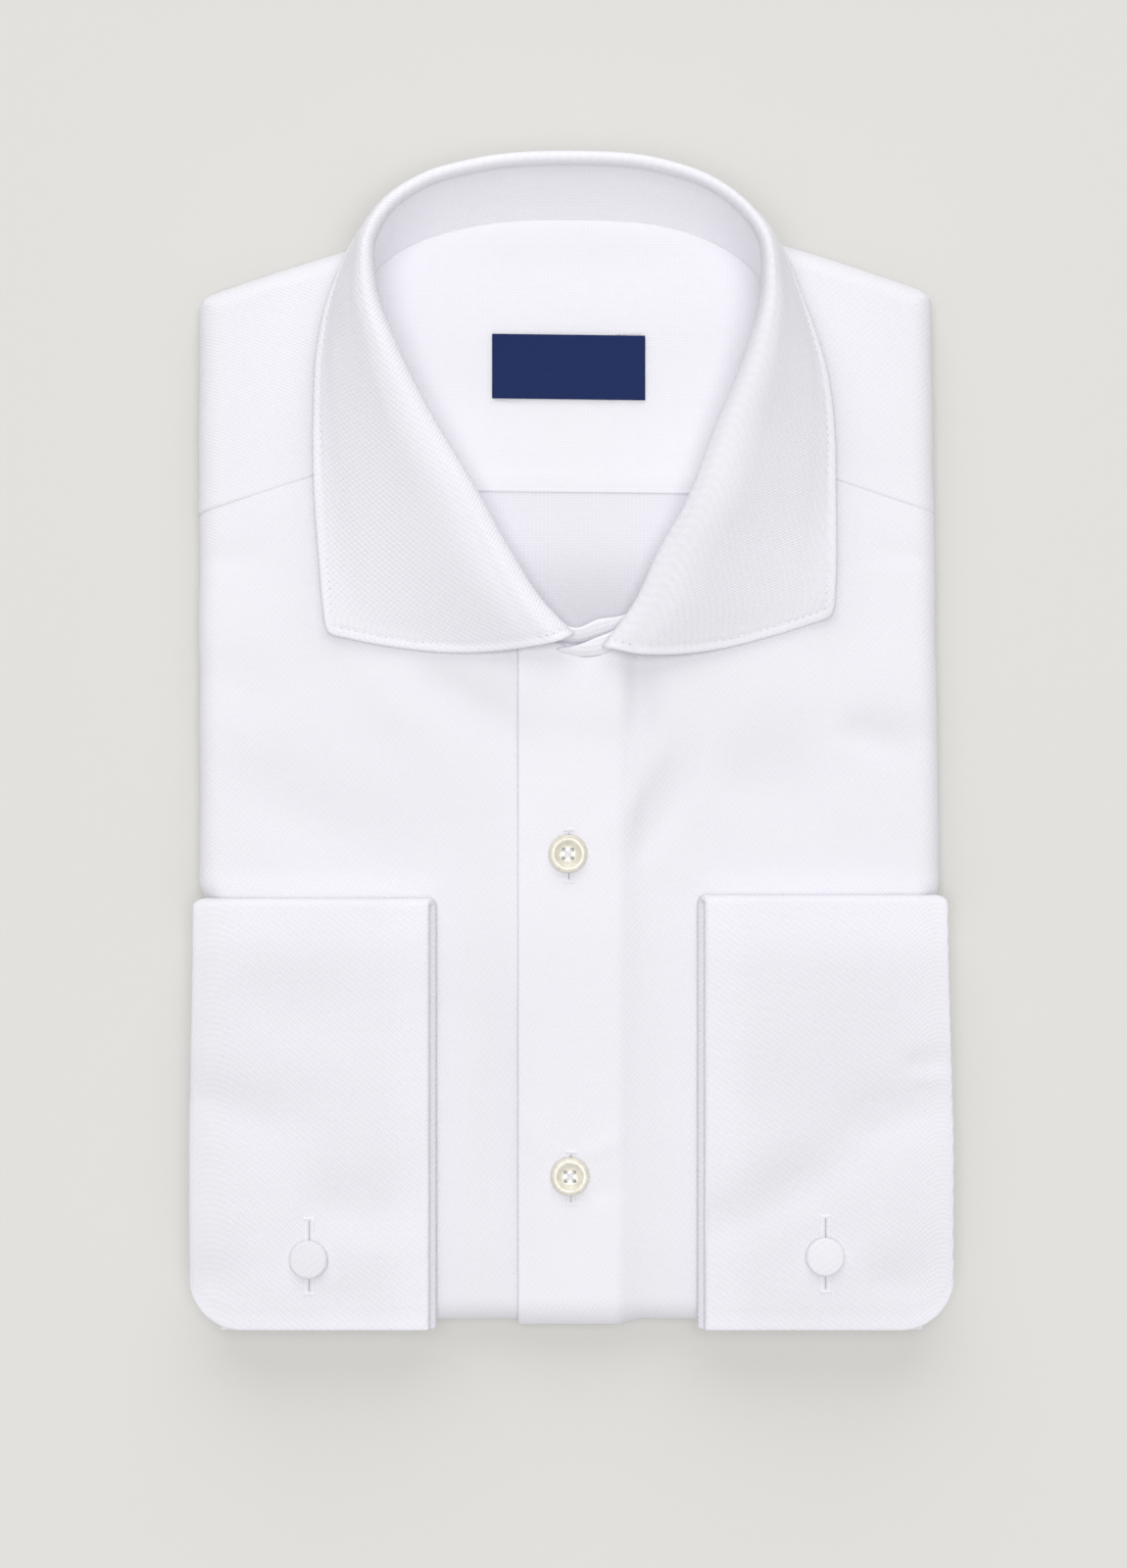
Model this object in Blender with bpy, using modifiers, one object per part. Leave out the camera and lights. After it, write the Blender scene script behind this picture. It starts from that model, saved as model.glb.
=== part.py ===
"""A long sleeve dress shirt, folded for a shelf and lying on its back.

The fronts face up, the closed collar stands at +Y, and both double cuffs are laid
on the fronts. The wearer's left is at +X. Sizes are in millimetres and MM turns
them into metres where a mesh is made. The underside is flat at z = 0.
"""

import math

import bmesh
import bpy
import numpy as np

MM = 0.001

# ---- driving sizes of the folded body
BODY_HALF_WIDTH = 109.8     # outside of the fronts at the side folds
BODY_FRONT = 174.6          # bottom fold, measured from the garment's middle line
BODY_BACK = 160.0           # yoke's fold behind the neck
SHOULDER_DROP = (27.0, 25.4)    # how far the right and left shoulder ends lie below the yoke's fold
SHOULDER_POWER = 1.6
CORNER_RADIUS = 3.0
EDGE_RADIUS = 5.5           # rounding where the fronts turn down over the side
CORE_TOP = 14.5             # height that the fronts and the inside lie on
CORE_SLACK = 0.15           # the hidden folded layers stop this far below it
CROWN = 1.0                 # the fronts swell this much in the middle
SIDE_SHIFT = (-2.6, -1.0)   # the right and left side folds lie this far over above the cuffs
SIDE_FLARE = 0.016          # the left side fold runs out by this much for each unit downwards
SIDE_FLARE_SPAN = (110.0, 160.0)    # height where it starts, and the length that it goes on for
SIDE_SHIFT_END = (-50.0, -42.0)     # under the cuffs the body lies straight
FRAME_SHIFT_Y = 0.65        # brings the middle of the outline to the origin

# ---- cloth
WALL = 1.2                  # one drawn layer of shirting with what is folded into it
STAND_WALL = 1.6            # collar stand with its interlining
CUFF_WALL = 1.0
SEAM_GAP = 0.3
PLACKET_LEFT = -16.0        # free edge of the left front
PLACKET_FOLD = 14.7         # inner fold of the turned-in placket
PLACKET_RISE = 0.5
UNDERLAP_END = 15.0         # the right front ends here, below the left one
YOKE_SEAM_AT_SIDE = 69.3
YOKE_SEAM_SLOPE = 0.32
INNER_YOKE_SEAM = 75.5

# ---- trims
LABEL_SIZE = (46.0, 19.4, 0.9)
LABEL_CENTRE = (-0.8, 112.1)
BUTTON_DIAMETER = 11.5
BUTTON_HEIGHT = 2.6
BUTTON_HOLE = 1.5
BUTTON_HOLE_PITCH = 2.9
FRONT_BUTTONS = {"button_chest": (-1.0, -34.0), "button_waist": (-0.4, -130.7)}
LINK_DIAMETER = 11.6
LINK_HEIGHT = 2.3

# ---- cuffs: side is the sign of x, the rest are distances; outer is at the hem and at the top
CUFFS = {
    "right": {"side": -1, "inner": 42.4, "outer": (114.4, 113.3), "top": -47.3, "link": (78.5, -155.1)},
    "left": {"side": 1, "inner": 39.8, "outer": (114.4, 112.7), "top": -46.3, "link": (75.8, -154.3)},
}
CUFF_TAPER = (-140.0, -50.0)    # heights between which the outer edge runs in
CUFF_BOTTOM = -176.5
CUFF_CORNER = 16.0
CUFF_UNDER_EDGE = 106.4     # turned-back edge of the leaf that lies on the front
CUFF_SEAM = 105.2           # where the cuff joins its sleeve
CUFF_PEEK = 2.0             # the lower leaf's fold shows this far past the upper one
SLEEVE_SPAN = (-171.0, -52.0)
SLEEVE_OUTSIDE = 111.5
SLEEVE_LIP = 4.1            # the sleeve ends this far in from its outside, below the folded layers
SLEEVE_TUCK = 4.6           # the lowest layer is held back this far to make room for it
SLEEVE_RADII = (3.0, 1.9)   # where it turns down over the side and in underneath

# ---- collar, a row for each station from the right tip round the neck to the left tip
# fold: inner edge of the roll and its height; edge: outer edge of the leaf;
# seam: foot of the stand; bow: how far the middle of the leaf swells
#    fold_x, fold_y, fold_z, edge_x, edge_y, edge_z, seam_x, seam_y,  bow
COLLAR = [
    (1.5,   31.3,  26.5,  -73.4,  31.8,  17.6,   1.0,   29.2,  -5.0),
    (-8.3,  41.4,  29.0,  -74.4,  38.3,  17.6,  -13.5,  34.4,  -3.0),
    (-18.2, 56.7,  32.5,  -75.7,  53.0,  17.6,  -29.0,  45.0,  -0.8),
    (-28.0, 74.3,  36.5,  -77.1,  73.0,  17.5,  -44.0,  63.0,   0.5),
    (-42.6, 98.9,  41.0,  -77.3,  98.0,  17.4,  -58.5,  88.0,   1.2),
    (-50.6, 115.0, 44.5,  -76.2, 117.0,  17.3,  -64.5, 106.0,   1.8),
    (-57.4, 135.0, 47.8,  -71.2, 136.5,  17.2,  -64.5, 127.0,   1.8),
    (-57.0, 147.3, 50.0,  -64.2, 151.4,  15.5,  -60.5, 139.5,   1.5),
    (-52.6, 154.4, 50.6,  -57.6, 160.0,  10.5,  -54.5, 145.0,   1.2),
    (-43.2, 161.1, 51.2,  -46.4, 167.2,   7.5,  -45.0, 149.7,   1.0),
    (-27.8, 165.7, 51.7,  -29.3, 172.3,   5.6,  -29.0, 153.5,   1.0),
    (-1.0,  167.8, 52.0,   -1.0, 174.6,   5.0,   -1.0, 155.2,   1.0),
    (25.5,  165.7, 51.7,   26.9, 172.0,   5.6,   26.8, 153.5,   1.0),
    (39.9,  160.8, 51.2,   42.4, 166.4,   7.5,   41.6, 149.5,   1.0),
    (49.0,  154.2, 50.6,   52.2, 159.2,  10.5,   51.2, 144.5,   1.2),
    (54.3,  146.8, 50.0,   61.0, 150.8,  15.5,   57.5, 138.5,   1.5),
    (55.6,  133.6, 47.6,   68.2, 134.5,  17.2,   62.0, 126.0,   1.8),
    (50.5,  112.5, 44.0,   75.8, 114.0,  17.3,   62.8, 104.0,   1.8),
    (43.1,  94.6,  40.5,   78.6,  97.0,  17.4,   58.0,  86.0,   1.2),
    (33.5,  70.0,  36.0,   79.4,  74.0,  17.5,   46.5,  62.0,   0.5),
    (25.7,  56.0,  32.5,   79.5,  56.0,  17.6,   35.0,  46.0,  -0.8),
    (18.6,  41.0,  29.0,   79.2,  44.0,  17.6,   22.5,  34.0,  -2.5),
    (8.6,   27.4,  26.5,   78.5,  37.0,  17.6,    9.0,  25.8,  -4.0),
]
# the band ends that overlap in front of the neck: they leave the two tips' folds on the inside
BAND_END_INSIDE = [
    (14.3,  37.7,  25.6,    0.0,   0.0,   0.0,   13.8,  32.0,   0.0),
    (7.8,   36.8,  26.2,    0.0,   0.0,   0.0,    8.0,  30.2,   0.0),
    (1.5,   34.2,  26.7,    0.0,   0.0,   0.0,    1.2,  29.2,   0.0),
]
BAND_END_OUTSIDE = [
    (12.6,  33.6,  26.8,    0.0,   0.0,   0.0,   13.0,  28.2,   0.0),
    (7.0,   31.2,  25.8,    0.0,   0.0,   0.0,    8.0,  25.8,   0.0),
    (1.8,   29.2,  25.0,    0.0,   0.0,   0.0,    2.0,  25.5,   0.0),
    (-4.2,  28.2,  24.0,    0.0,   0.0,   0.0,   -4.6,  27.2,   0.0),
]
# the leaf's front edge below a straight line, right tip then left: sag, how near the neck, drop there
FRONT_EDGE_SAG = ((4.5, 0.92, 1.7), (4.5, 0.80, 1.2))
BAND_END_LIFT = 0.6         # the inner band end's foot lies higher, on the front below
ROLL_AT_BACK = 4.4          # leaf doubled over the stand, from inside to outside, behind the neck
ROLL_IN_FRONT = 7.0         # and at the tips
ROLL_SPAN = (80.0, 150.0)   # it widens between these heights
ROLL_SOFTNESS = 0.9         # the leaf leaves the roll on a curve this many rolls in radius
ROLL_JOIN = 4.6             # the stand ends this far below the top of the roll
STAND_CLEARANCE = 0.80      # and this far below the leaf's inner end
TIP_REST_SPAN = (55.0, 75.0)    # below these heights the fronts hold the leaf up
TIP_REST_SOFTNESS = 0.5

COLOURS = {                 # base colour, roughness
    "shirting": ((0.87, 0.87, 0.92, 1.0), 0.75),
    "label_cloth": ((0.035, 0.045, 0.15, 1.0), 0.7),
    "pearl": ((0.80, 0.76, 0.64, 1.0), 0.28),
}


# ---- scene and object helpers
def clear_scene():
    for obj in list(bpy.data.objects):
        bpy.data.objects.remove(obj, do_unlink=True)
    for name in ("folded_dress_shirt", "cutters"):
        bpy.context.scene.collection.children.link(bpy.data.collections.new(name))


def material(name):
    if name in bpy.data.materials:
        return bpy.data.materials[name]
    made = bpy.data.materials.new(name)
    made.use_nodes = True
    shader = made.node_tree.nodes["Principled BSDF"]
    shader.inputs["Base Color"].default_value = COLOURS[name][0]
    shader.inputs["Roughness"].default_value = COLOURS[name][1]
    shader.inputs["Metallic"].default_value = 0.0
    return made


def add_object(name, bm, finish):
    """Links a bmesh given in millimetres, moved to the part's frame and to metres."""
    bmesh.ops.translate(bm, verts=bm.verts, vec=(0.0, FRAME_SHIFT_Y, 0.0))
    bmesh.ops.scale(bm, verts=bm.verts, vec=(MM, MM, MM))
    mesh = bpy.data.meshes.new(name)
    bm.to_mesh(mesh)
    bm.free()
    mesh.shade_smooth()
    obj = bpy.data.objects.new(name, mesh)
    obj.data.materials.append(material(finish))
    bpy.data.collections["folded_dress_shirt"].objects.link(obj)
    return obj


def cloth(name, points, wall, offset=1.0, finish="shirting"):
    """A grid bent to points[i, j] and thickened; offset 1 thickens along its normals."""
    rows, columns = points.shape[:2]
    bm = bmesh.new()
    bmesh.ops.create_grid(bm, x_segments=columns - 1, y_segments=rows - 1, size=0.5)
    for vert in bm.verts:
        column = round((vert.co.x + 0.5) * (columns - 1))
        row = round((vert.co.y + 0.5) * (rows - 1))
        vert.co = points[row, column]
    obj = add_object(name, bm, finish)
    thicken = obj.modifiers.new("wall", "SOLIDIFY")
    thicken.thickness = wall * MM
    thicken.offset = offset
    thicken.use_even_offset = True
    return obj


# ---- the folded body's surface
def edge_wrap(distance, half, lift):
    """A distance over the cloth from the middle line, turned down over an edge at half."""
    flat = half - EDGE_RADIUS
    angle = np.clip((distance - flat) / EDGE_RADIUS, 0.0, math.pi / 2)
    reach = np.minimum(distance, flat) + (EDGE_RADIUS + lift) * np.sin(angle)
    return reach, (EDGE_RADIUS + lift) * (1.0 - np.cos(angle))


def round_corner(x, y, half_x, half_y, lift):
    """Moves points of the corner square on to its quarter disc."""
    radius = np.maximum(CORNER_RADIUS + lift, 0.1)
    start_x, start_y = half_x - CORNER_RADIUS, half_y - CORNER_RADIUS
    a = np.clip((x - start_x) / radius, 0.0, 1.0)
    b = np.clip((y - start_y) / radius, 0.0, 1.0)
    both = (a > 0) & (b > 0)
    x = np.where(both, start_x + radius * a * np.sqrt(1 - b * b / 2), x)
    y = np.where(both, start_y + radius * b * np.sqrt(1 - a * a / 2), y)
    return x, y


def shoulder_scale(x):
    """The back edge runs forward towards the shoulder ends, a little less on the wearer's left."""
    part = np.clip(np.abs(x) / BODY_HALF_WIDTH, 0.0, 1.0)
    drop = np.where(np.asarray(x) < 0, *SHOULDER_DROP)
    return 1.0 - drop / BODY_BACK * part ** SHOULDER_POWER


def side_shift(x, y):
    """Sideways shift of the cloth: nothing in the middle or under the cuffs, most at the side folds."""
    part = np.clip(np.abs(x) / BODY_HALF_WIDTH, 0.0, 1.0) ** 3
    start, span = SIDE_FLARE_SPAN
    right, left = SIDE_SHIFT
    shift = np.where(x < 0, right, left + SIDE_FLARE * np.clip(start - y, 0.0, span))
    return part * shift * ease(y, *SIDE_SHIFT_END)


def core_halves(y):
    inset = WALL + SEAM_GAP
    return BODY_HALF_WIDTH - inset, np.where(y > 0, BODY_BACK, BODY_FRONT) - inset


def on_body(over_x, over_y, lift=0.0):
    """Points over the folded body, lift above it, from distances measured on the cloth."""
    over_x, over_y, lift = np.broadcast_arrays(
        np.asarray(over_x, float), np.asarray(over_y, float), np.asarray(lift, float))
    half_x, half_y = core_halves(over_y)
    x, drop_x = edge_wrap(np.abs(over_x), half_x, lift)
    y, drop_y = edge_wrap(np.abs(over_y), half_y, lift)
    x, y = round_corner(x, y, half_x, half_y, lift)
    drop = np.minimum((drop_x ** 8 + drop_y ** 8) ** 0.125, EDGE_RADIUS + lift)
    x, y = np.sign(over_x) * x, np.sign(over_y) * y
    y = np.where(y > 0, y * shoulder_scale(x), y)
    return np.stack([x + side_shift(x, y), y, CORE_TOP + lift - drop], axis=-1)


def crown(x, y):
    """The gentle swelling of the fronts, nothing at the edges."""
    across = np.clip(1 - (np.asarray(x) / 100.0) ** 2, 0.0, 1.0)
    along = np.clip(1 - (np.asarray(y) / 165.0) ** 2, 0.0, 1.0)
    return CROWN * across * along


def ease(value, start, end):
    """0 before start, 1 after end, smooth between."""
    part = np.clip((np.asarray(value, float) - start) / (end - start), 0.0, 1.0)
    return part * part * (3 - 2 * part)


def left_front_lift(x, y):
    """The left front lies over the right one at the placket, then comes down to the body."""
    over_lap = 1.0 - ease(x, UNDERLAP_END + 1.5, UNDERLAP_END + 13.0)
    placket = 1.0 - ease(x, PLACKET_FOLD - 0.6, PLACKET_FOLD + 0.6)
    return SEAM_GAP + crown(x, y) + over_lap * (WALL + SEAM_GAP) + placket * PLACKET_RISE


def right_front_lift(x, y):
    return SEAM_GAP + crown(x, y)


def front_top(x, y):
    """Height of the outside of the fronts away from their folds."""
    lift = np.where(np.asarray(x) > PLACKET_LEFT, left_front_lift(x, y), right_front_lift(x, y))
    return CORE_TOP + lift + WALL


def rest_height(x, y):
    """Height of the middle of a leaf that lies on the fronts: it comes up gradually to the placket."""
    nearing = ease(x, PLACKET_LEFT - 5.0, PLACKET_LEFT)
    lift = nearing * left_front_lift(x, y) + (1 - nearing) * right_front_lift(x, y)
    return CORE_TOP + lift + WALL + SEAM_GAP + WALL / 2


def yoke_seam(x):
    return YOKE_SEAM_AT_SIDE + YOKE_SEAM_SLOPE * (BODY_HALF_WIDTH - np.minimum(np.abs(x), BODY_HALF_WIDTH))


# ---- the collar's stations
def through(rows, where):
    """A smooth curve through the rows: cubic pieces with the slopes of their neighbours."""
    rows = np.asarray(rows, float)
    step = np.linalg.norm(np.diff(rows[:, :3], axis=0), axis=1)
    at = np.concatenate([[0.0], np.cumsum(step)])
    slope = np.gradient(rows, at, axis=0)
    place = np.asarray(where) * at[-1]
    i = np.clip(np.searchsorted(at, place, side="right") - 1, 0, len(at) - 2)
    width = (at[i + 1] - at[i])[:, None]
    t = (place - at[i])[:, None] / width
    return ((2 * t ** 3 - 3 * t ** 2 + 1) * rows[i] + (t ** 3 - 2 * t ** 2 + t) * width * slope[i]
            + (3 * t ** 2 - 2 * t ** 3) * rows[i + 1] + (t ** 3 - t ** 2) * width * slope[i + 1])


def outward(path):
    """Unit vectors in plan, square to a path that runs clockwise seen from above."""
    along = np.gradient(path[:, :2], axis=0)
    side = np.stack([-along[:, 1], along[:, 0]], axis=1)
    return side / np.linalg.norm(side, axis=1)[:, None]


def neck_seam(count=160):
    """The foot of the stand in plan, band ends included."""
    rows = BAND_END_INSIDE + COLLAR[1:-1] + BAND_END_OUTSIDE
    seam = np.array([(row[6], row[7], 0.0) for row in rows])
    return through(seam, np.linspace(0.0, 1.0, count))[:, :2]


def neckline(offset, count=160):
    seam = neck_seam(count)
    return seam + outward(seam) * offset


# ---- pieces
def rounded_ends(corner, middle, count):
    """Shares from -1 to 1: closer together over the corners, then count even ones in the middle."""
    near = 1 - corner * np.array([1.0, 0.6, 0.25, 0.0])
    return np.concatenate([-near[::-1], np.linspace(-middle, middle, count), near])


def make_folded_layers():
    """The hidden layers as one solid: folds stacked at the edge, flat below."""
    layer, groove, crest = 2.85, -0.9, WALL + SEAM_GAP
    ledge = CORE_TOP - EDGE_RADIUS - SEAM_GAP
    rings = [(groove + 1.2, 0.0, True)]                      # lift, height, tucked for the sleeves
    for number in range(3):
        low = number * layer
        rings += [(crest - 0.15, low + 0.28 * layer, number == 0), (crest - 0.15, low + 0.72 * layer, False),
                  (groove, min(low + layer, ledge), False)]
    rings.insert(2, (crest, 0.62 * layer, False))
    along_x = rounded_ends(CORNER_RADIUS / BODY_HALF_WIDTH, 0.9, 9)
    along_y = rounded_ends(CORNER_RADIUS / BODY_FRONT, 0.93, 13)
    along_y = np.sort(np.concatenate([along_y, np.array(SIDE_SHIFT_END) / BODY_FRONT]))
    unit = np.array([(x, -1.0) for x in along_x[:-1]] + [(1.0, y) for y in along_y[:-1]]
                    + [(x, 1.0) for x in along_x[:0:-1]] + [(-1.0, y) for y in along_y[:0:-1]])

    def ring(turn, lift):
        half_x, half_y = core_halves(unit[:, 1])
        over = EDGE_RADIUS * (turn - 1)
        return on_body(unit[:, 0] * (half_x + over), unit[:, 1] * (half_y + over), lift)

    loops = []
    for lift, height, tucked in rings:
        lifts = np.full(len(unit), lift)
        if tucked:
            y = ring(math.pi / 2, 0.0)[:, 1]
            inside = ease(y, SLEEVE_SPAN[0] - 6, SLEEVE_SPAN[0] - 2)
            inside *= 1 - ease(y, SLEEVE_SPAN[1] + 3, SLEEVE_SPAN[1] + 8)
            lifts = lift - inside * (np.abs(unit[:, 0]) > 0.99) * (SLEEVE_TUCK + lift)
        points = ring(math.pi / 2, 0.0)
        outer = ring(math.pi / 2, lifts)
        points[:, :2] = outer[:, :2]
        points[:, 2] = height
        loops.append(points)
    for turn in np.linspace(math.pi / 2, 0.0, 5):
        loops.append(ring(turn, -CORE_SLACK))
    bm = bmesh.new()
    made = [[bm.verts.new(point) for point in loop] for loop in loops]
    for low, high in zip(made, made[1:]):
        for k in range(len(unit)):
            after = (k + 1) % len(unit)
            bm.faces.new((low[k], low[after], high[after], high[k]))
    bm.faces.new(made[0][::-1])
    bm.faces.new(made[-1])
    bmesh.ops.recalc_face_normals(bm, faces=bm.faces)
    return add_object("folded_layers", bm, "shirting")


def turned_down(start, half):
    """Distances over the cloth from start, across the flat and down over the edge."""
    flat = half - EDGE_RADIUS
    return np.concatenate([start, flat + EDGE_RADIUS * np.linspace(0.0, math.pi / 2, 5)])


def make_front(name, side, columns, lift_of, boundary):
    """A front panel: columns across, rows from the bottom fold up to its top boundary."""
    rows = []
    bottom = BODY_FRONT - WALL - SEAM_GAP
    below = -turned_down(np.array([]), bottom)[::-1]
    for x in columns:
        plan_x = math.copysign(min(abs(x), BODY_HALF_WIDTH), x)
        top = boundary(plan_x) / shoulder_scale(plan_x)
        y = np.concatenate([below, np.linspace(below[-1], SIDE_SHIFT_END[0], 6)[1:],
                            np.linspace(SIDE_SHIFT_END[1], top, 6)])
        rows.append(on_body(x, y, lift_of(x, y)))
    points = np.stack(rows)
    if side < 0:
        points = points[::-1]
    return cloth(name, points[::-1], WALL)


def front_boundary(side):
    """Height of the top edge of a front: the neckline, then the yoke seam."""
    offset = STAND_WALL / 2 + 3 * SEAM_GAP
    path = neckline(offset)
    middle = len(path) // 2
    path = path[:middle] if side < 0 else path[middle:]
    path = path[path[:, 1] < 100.0]
    order = np.argsort(side * path[:, 0])
    reach, height = side * path[order, 0], path[order, 1]

    def boundary(x):
        neck = np.interp(side * x, reach, height, right=1000.0)
        return float(min(neck, yoke_seam(x) - SEAM_GAP))
    return boundary


def make_fronts():
    half = BODY_HALF_WIDTH - WALL - SEAM_GAP
    right = turned_down(np.array([-UNDERLAP_END, -4, 6, 16, 28, 40, 50, 57, 62, 72, 84, 94.0]), half)
    left = turned_down(np.array([PLACKET_LEFT, -7, 2, 9, PLACKET_FOLD - 0.7, PLACKET_FOLD + 0.7, 19, 23, 28.5,
                                 38, 48, 55, 60, 72, 84, 94.0]), half)
    make_front("front_right", -1, -right, right_front_lift, front_boundary(-1))
    make_front("front_left", 1, left, left_front_lift, front_boundary(1))


def make_yoke():
    """Both shoulders in one piece: from the neckline out to the folded edge all round."""
    path = neckline(STAND_WALL / 2 + 3 * SEAM_GAP, 400)
    on_yoke = path[:, 1] > yoke_seam(path[:, 0]) + SEAM_GAP
    path = path[on_yoke]
    half_x = BODY_HALF_WIDTH - WALL - SEAM_GAP
    half_y = BODY_BACK - WALL - SEAM_GAP
    over = EDGE_RADIUS * (math.pi / 2 - 1)
    far_x, far_y = half_x + over, half_y + over
    near_corner = np.array([10.0, 7.0, 4.5, 2.2, 0.0])
    across_x = np.concatenate([near_corner[::-1] - far_x, np.linspace(20.0 - far_x, far_x - 20.0, 12),
                               far_x - near_corner])
    across = np.stack([across_x, np.full(len(across_x), far_y)], axis=1)

    def up(side):
        seam_end = (yoke_seam(far_x) + SEAM_GAP) / shoulder_scale(side * half_x)
        up_y = np.concatenate([np.linspace(seam_end, far_y - 20.0, 5), far_y - near_corner])
        return np.stack([np.full(len(up_y), side * far_x), up_y], axis=1)

    outer = np.concatenate([up(-1)[:-1], across, up(1)[-2::-1]])
    share = np.concatenate([[0.0], np.cumsum(np.linalg.norm(np.diff(outer, axis=0), axis=1))])
    index = share / share[-1] * (len(path) - 1)
    inner = np.stack([np.interp(index, np.arange(len(path)), path[:, axis]) for axis in (0, 1)], axis=1)
    inner[:, 1] /= shoulder_scale(inner[:, 0])
    span = np.linalg.norm(outer - inner, axis=1)[:, None]
    from_edge = np.array([15.5, 12.5, 10.0, 7.8, 5.8, 3.8, 1.9, 0.0])
    bend = 1 - np.minimum(from_edge[0] * 1.35 / span, 0.92)
    shares = [0 * bend, bend / 3, bend * 2 / 3] + [1 - (1 - bend) * part / from_edge[0] for part in from_edge]
    points = []
    for share in shares:
        flat = inner + (outer - inner) * share
        lift = SEAM_GAP + crown(flat[:, 0], flat[:, 1])
        points.append(on_body(flat[:, 0], flat[:, 1], lift))
    return cloth("yoke", np.stack(points), WALL)


def flat_panel(name, outline, base, wall, finish="shirting"):
    """A flat piece of cloth from its outline, base below and wall thick."""
    bm = bmesh.new()
    face = bm.faces.new([bm.verts.new((x, y, base)) for x, y in outline])
    face.normal_update()
    if face.normal.z < 0:
        face.normal_flip()
    obj = add_object(name, bm, finish)
    thicken = obj.modifiers.new("wall", "SOLIDIFY")
    thicken.thickness = wall * MM
    thicken.offset = 1.0
    return obj


def make_inside():
    """The inner yoke and the back, seen down through the neck."""
    lean = 1.6
    ring = neckline(-(STAND_WALL / 2 + SEAM_GAP + lean), 120)
    seam = neck_seam(120)
    ring = ring[seam[:, 1] > 37.0]
    upper = ring[ring[:, 1] > INNER_YOKE_SEAM + 0.5]
    lower = ring[ring[:, 1] < INNER_YOKE_SEAM - 0.5]
    base = CORE_TOP + SEAM_GAP

    def edge_x(side, y):
        part = ring[side * ring[:, 0] > 0]
        order = np.argsort(part[:, 1])
        rising = part[order][part[order][:, 1] < 100]
        return float(np.interp(y, rising[:, 1], rising[:, 0]))

    top_y, low_y = INNER_YOKE_SEAM + SEAM_GAP / 2, INNER_YOKE_SEAM - SEAM_GAP / 2
    yoke = [(edge_x(-1, top_y), top_y), *upper, (edge_x(1, top_y), top_y)]
    left, right = lower[lower[:, 0] < 0], lower[lower[:, 0] > 0]
    back = [(edge_x(1, low_y), low_y), *right, *left, (edge_x(-1, low_y), low_y)]
    flat_panel("inner_yoke", yoke, base, 1.0)
    flat_panel("inner_back", back, base, 1.0)
    width, height, thick = LABEL_SIZE
    x, y = LABEL_CENTRE
    corners = [(x + sx * width / 2, y + sy * height / 2) for sx, sy in ((-1, -1), (1, -1), (1, 1), (-1, 1))]
    flat_panel("neck_label", corners, base + 1.0 + SEAM_GAP, thick, "label_cloth")


def make_collar_stand():
    """A ring of cloth from the neck seam up into the roll; its ends overlap in front."""
    rows = through(BAND_END_INSIDE + COLLAR[1:-1] + BAND_END_OUTSIDE, np.linspace(0.0, 1.0, 54))
    side = outward(rows[:, :2])
    on_left = (np.arange(len(rows)) > len(rows) / 2) & (rows[:, 7] < 60.0)
    over_lap = on_left * (1.0 - ease(rows[:, 6], UNDERLAP_END + 1.5, UNDERLAP_END + 13.0))
    over_lap *= WALL + SEAM_GAP + crown(rows[:, 6], rows[:, 7])
    free = (1 - ease(np.hypot(rows[:, 3], rows[:, 4]), 4.0, 60.0))[:, None]
    on_right = np.arange(len(rows)) < len(rows) / 2
    foot_height = CORE_TOP + 2 * SEAM_GAP + over_lap + BAND_END_LIFT * free[:, 0] * on_right
    foot = np.column_stack([rows[:, 6], rows[:, 7], foot_height])
    top = np.column_stack([rows[:, :2] + side * WALL / 2, rows[:, 2] - ROLL_JOIN - STAND_CLEARANCE])
    rise = (top - foot) * (0.0, 0.0, 1.0)
    lean = (top - foot) * (1.0, 1.0, 0.0)
    back = ease(rows[:, 7:8], 110.0, 145.0)
    low = foot + (0.35 - 0.1 * back + 0.15 * free) * rise + (0.08 + 0.22 * back + 0.12 * free) * lean
    high = top - (0.28 + 0.12 * back - 0.18 * free) * rise - (0.04 - 0.02 * back + 0.38 * free) * lean
    t = np.linspace(0.0, 1.0, 7)[:, None, None]
    points = (1 - t) ** 3 * foot + 3 * t * (1 - t) ** 2 * low + 3 * t * t * (1 - t) * high + t ** 3 * top
    return cloth("collar_stand", points, STAND_WALL, offset=0.0)


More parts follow.
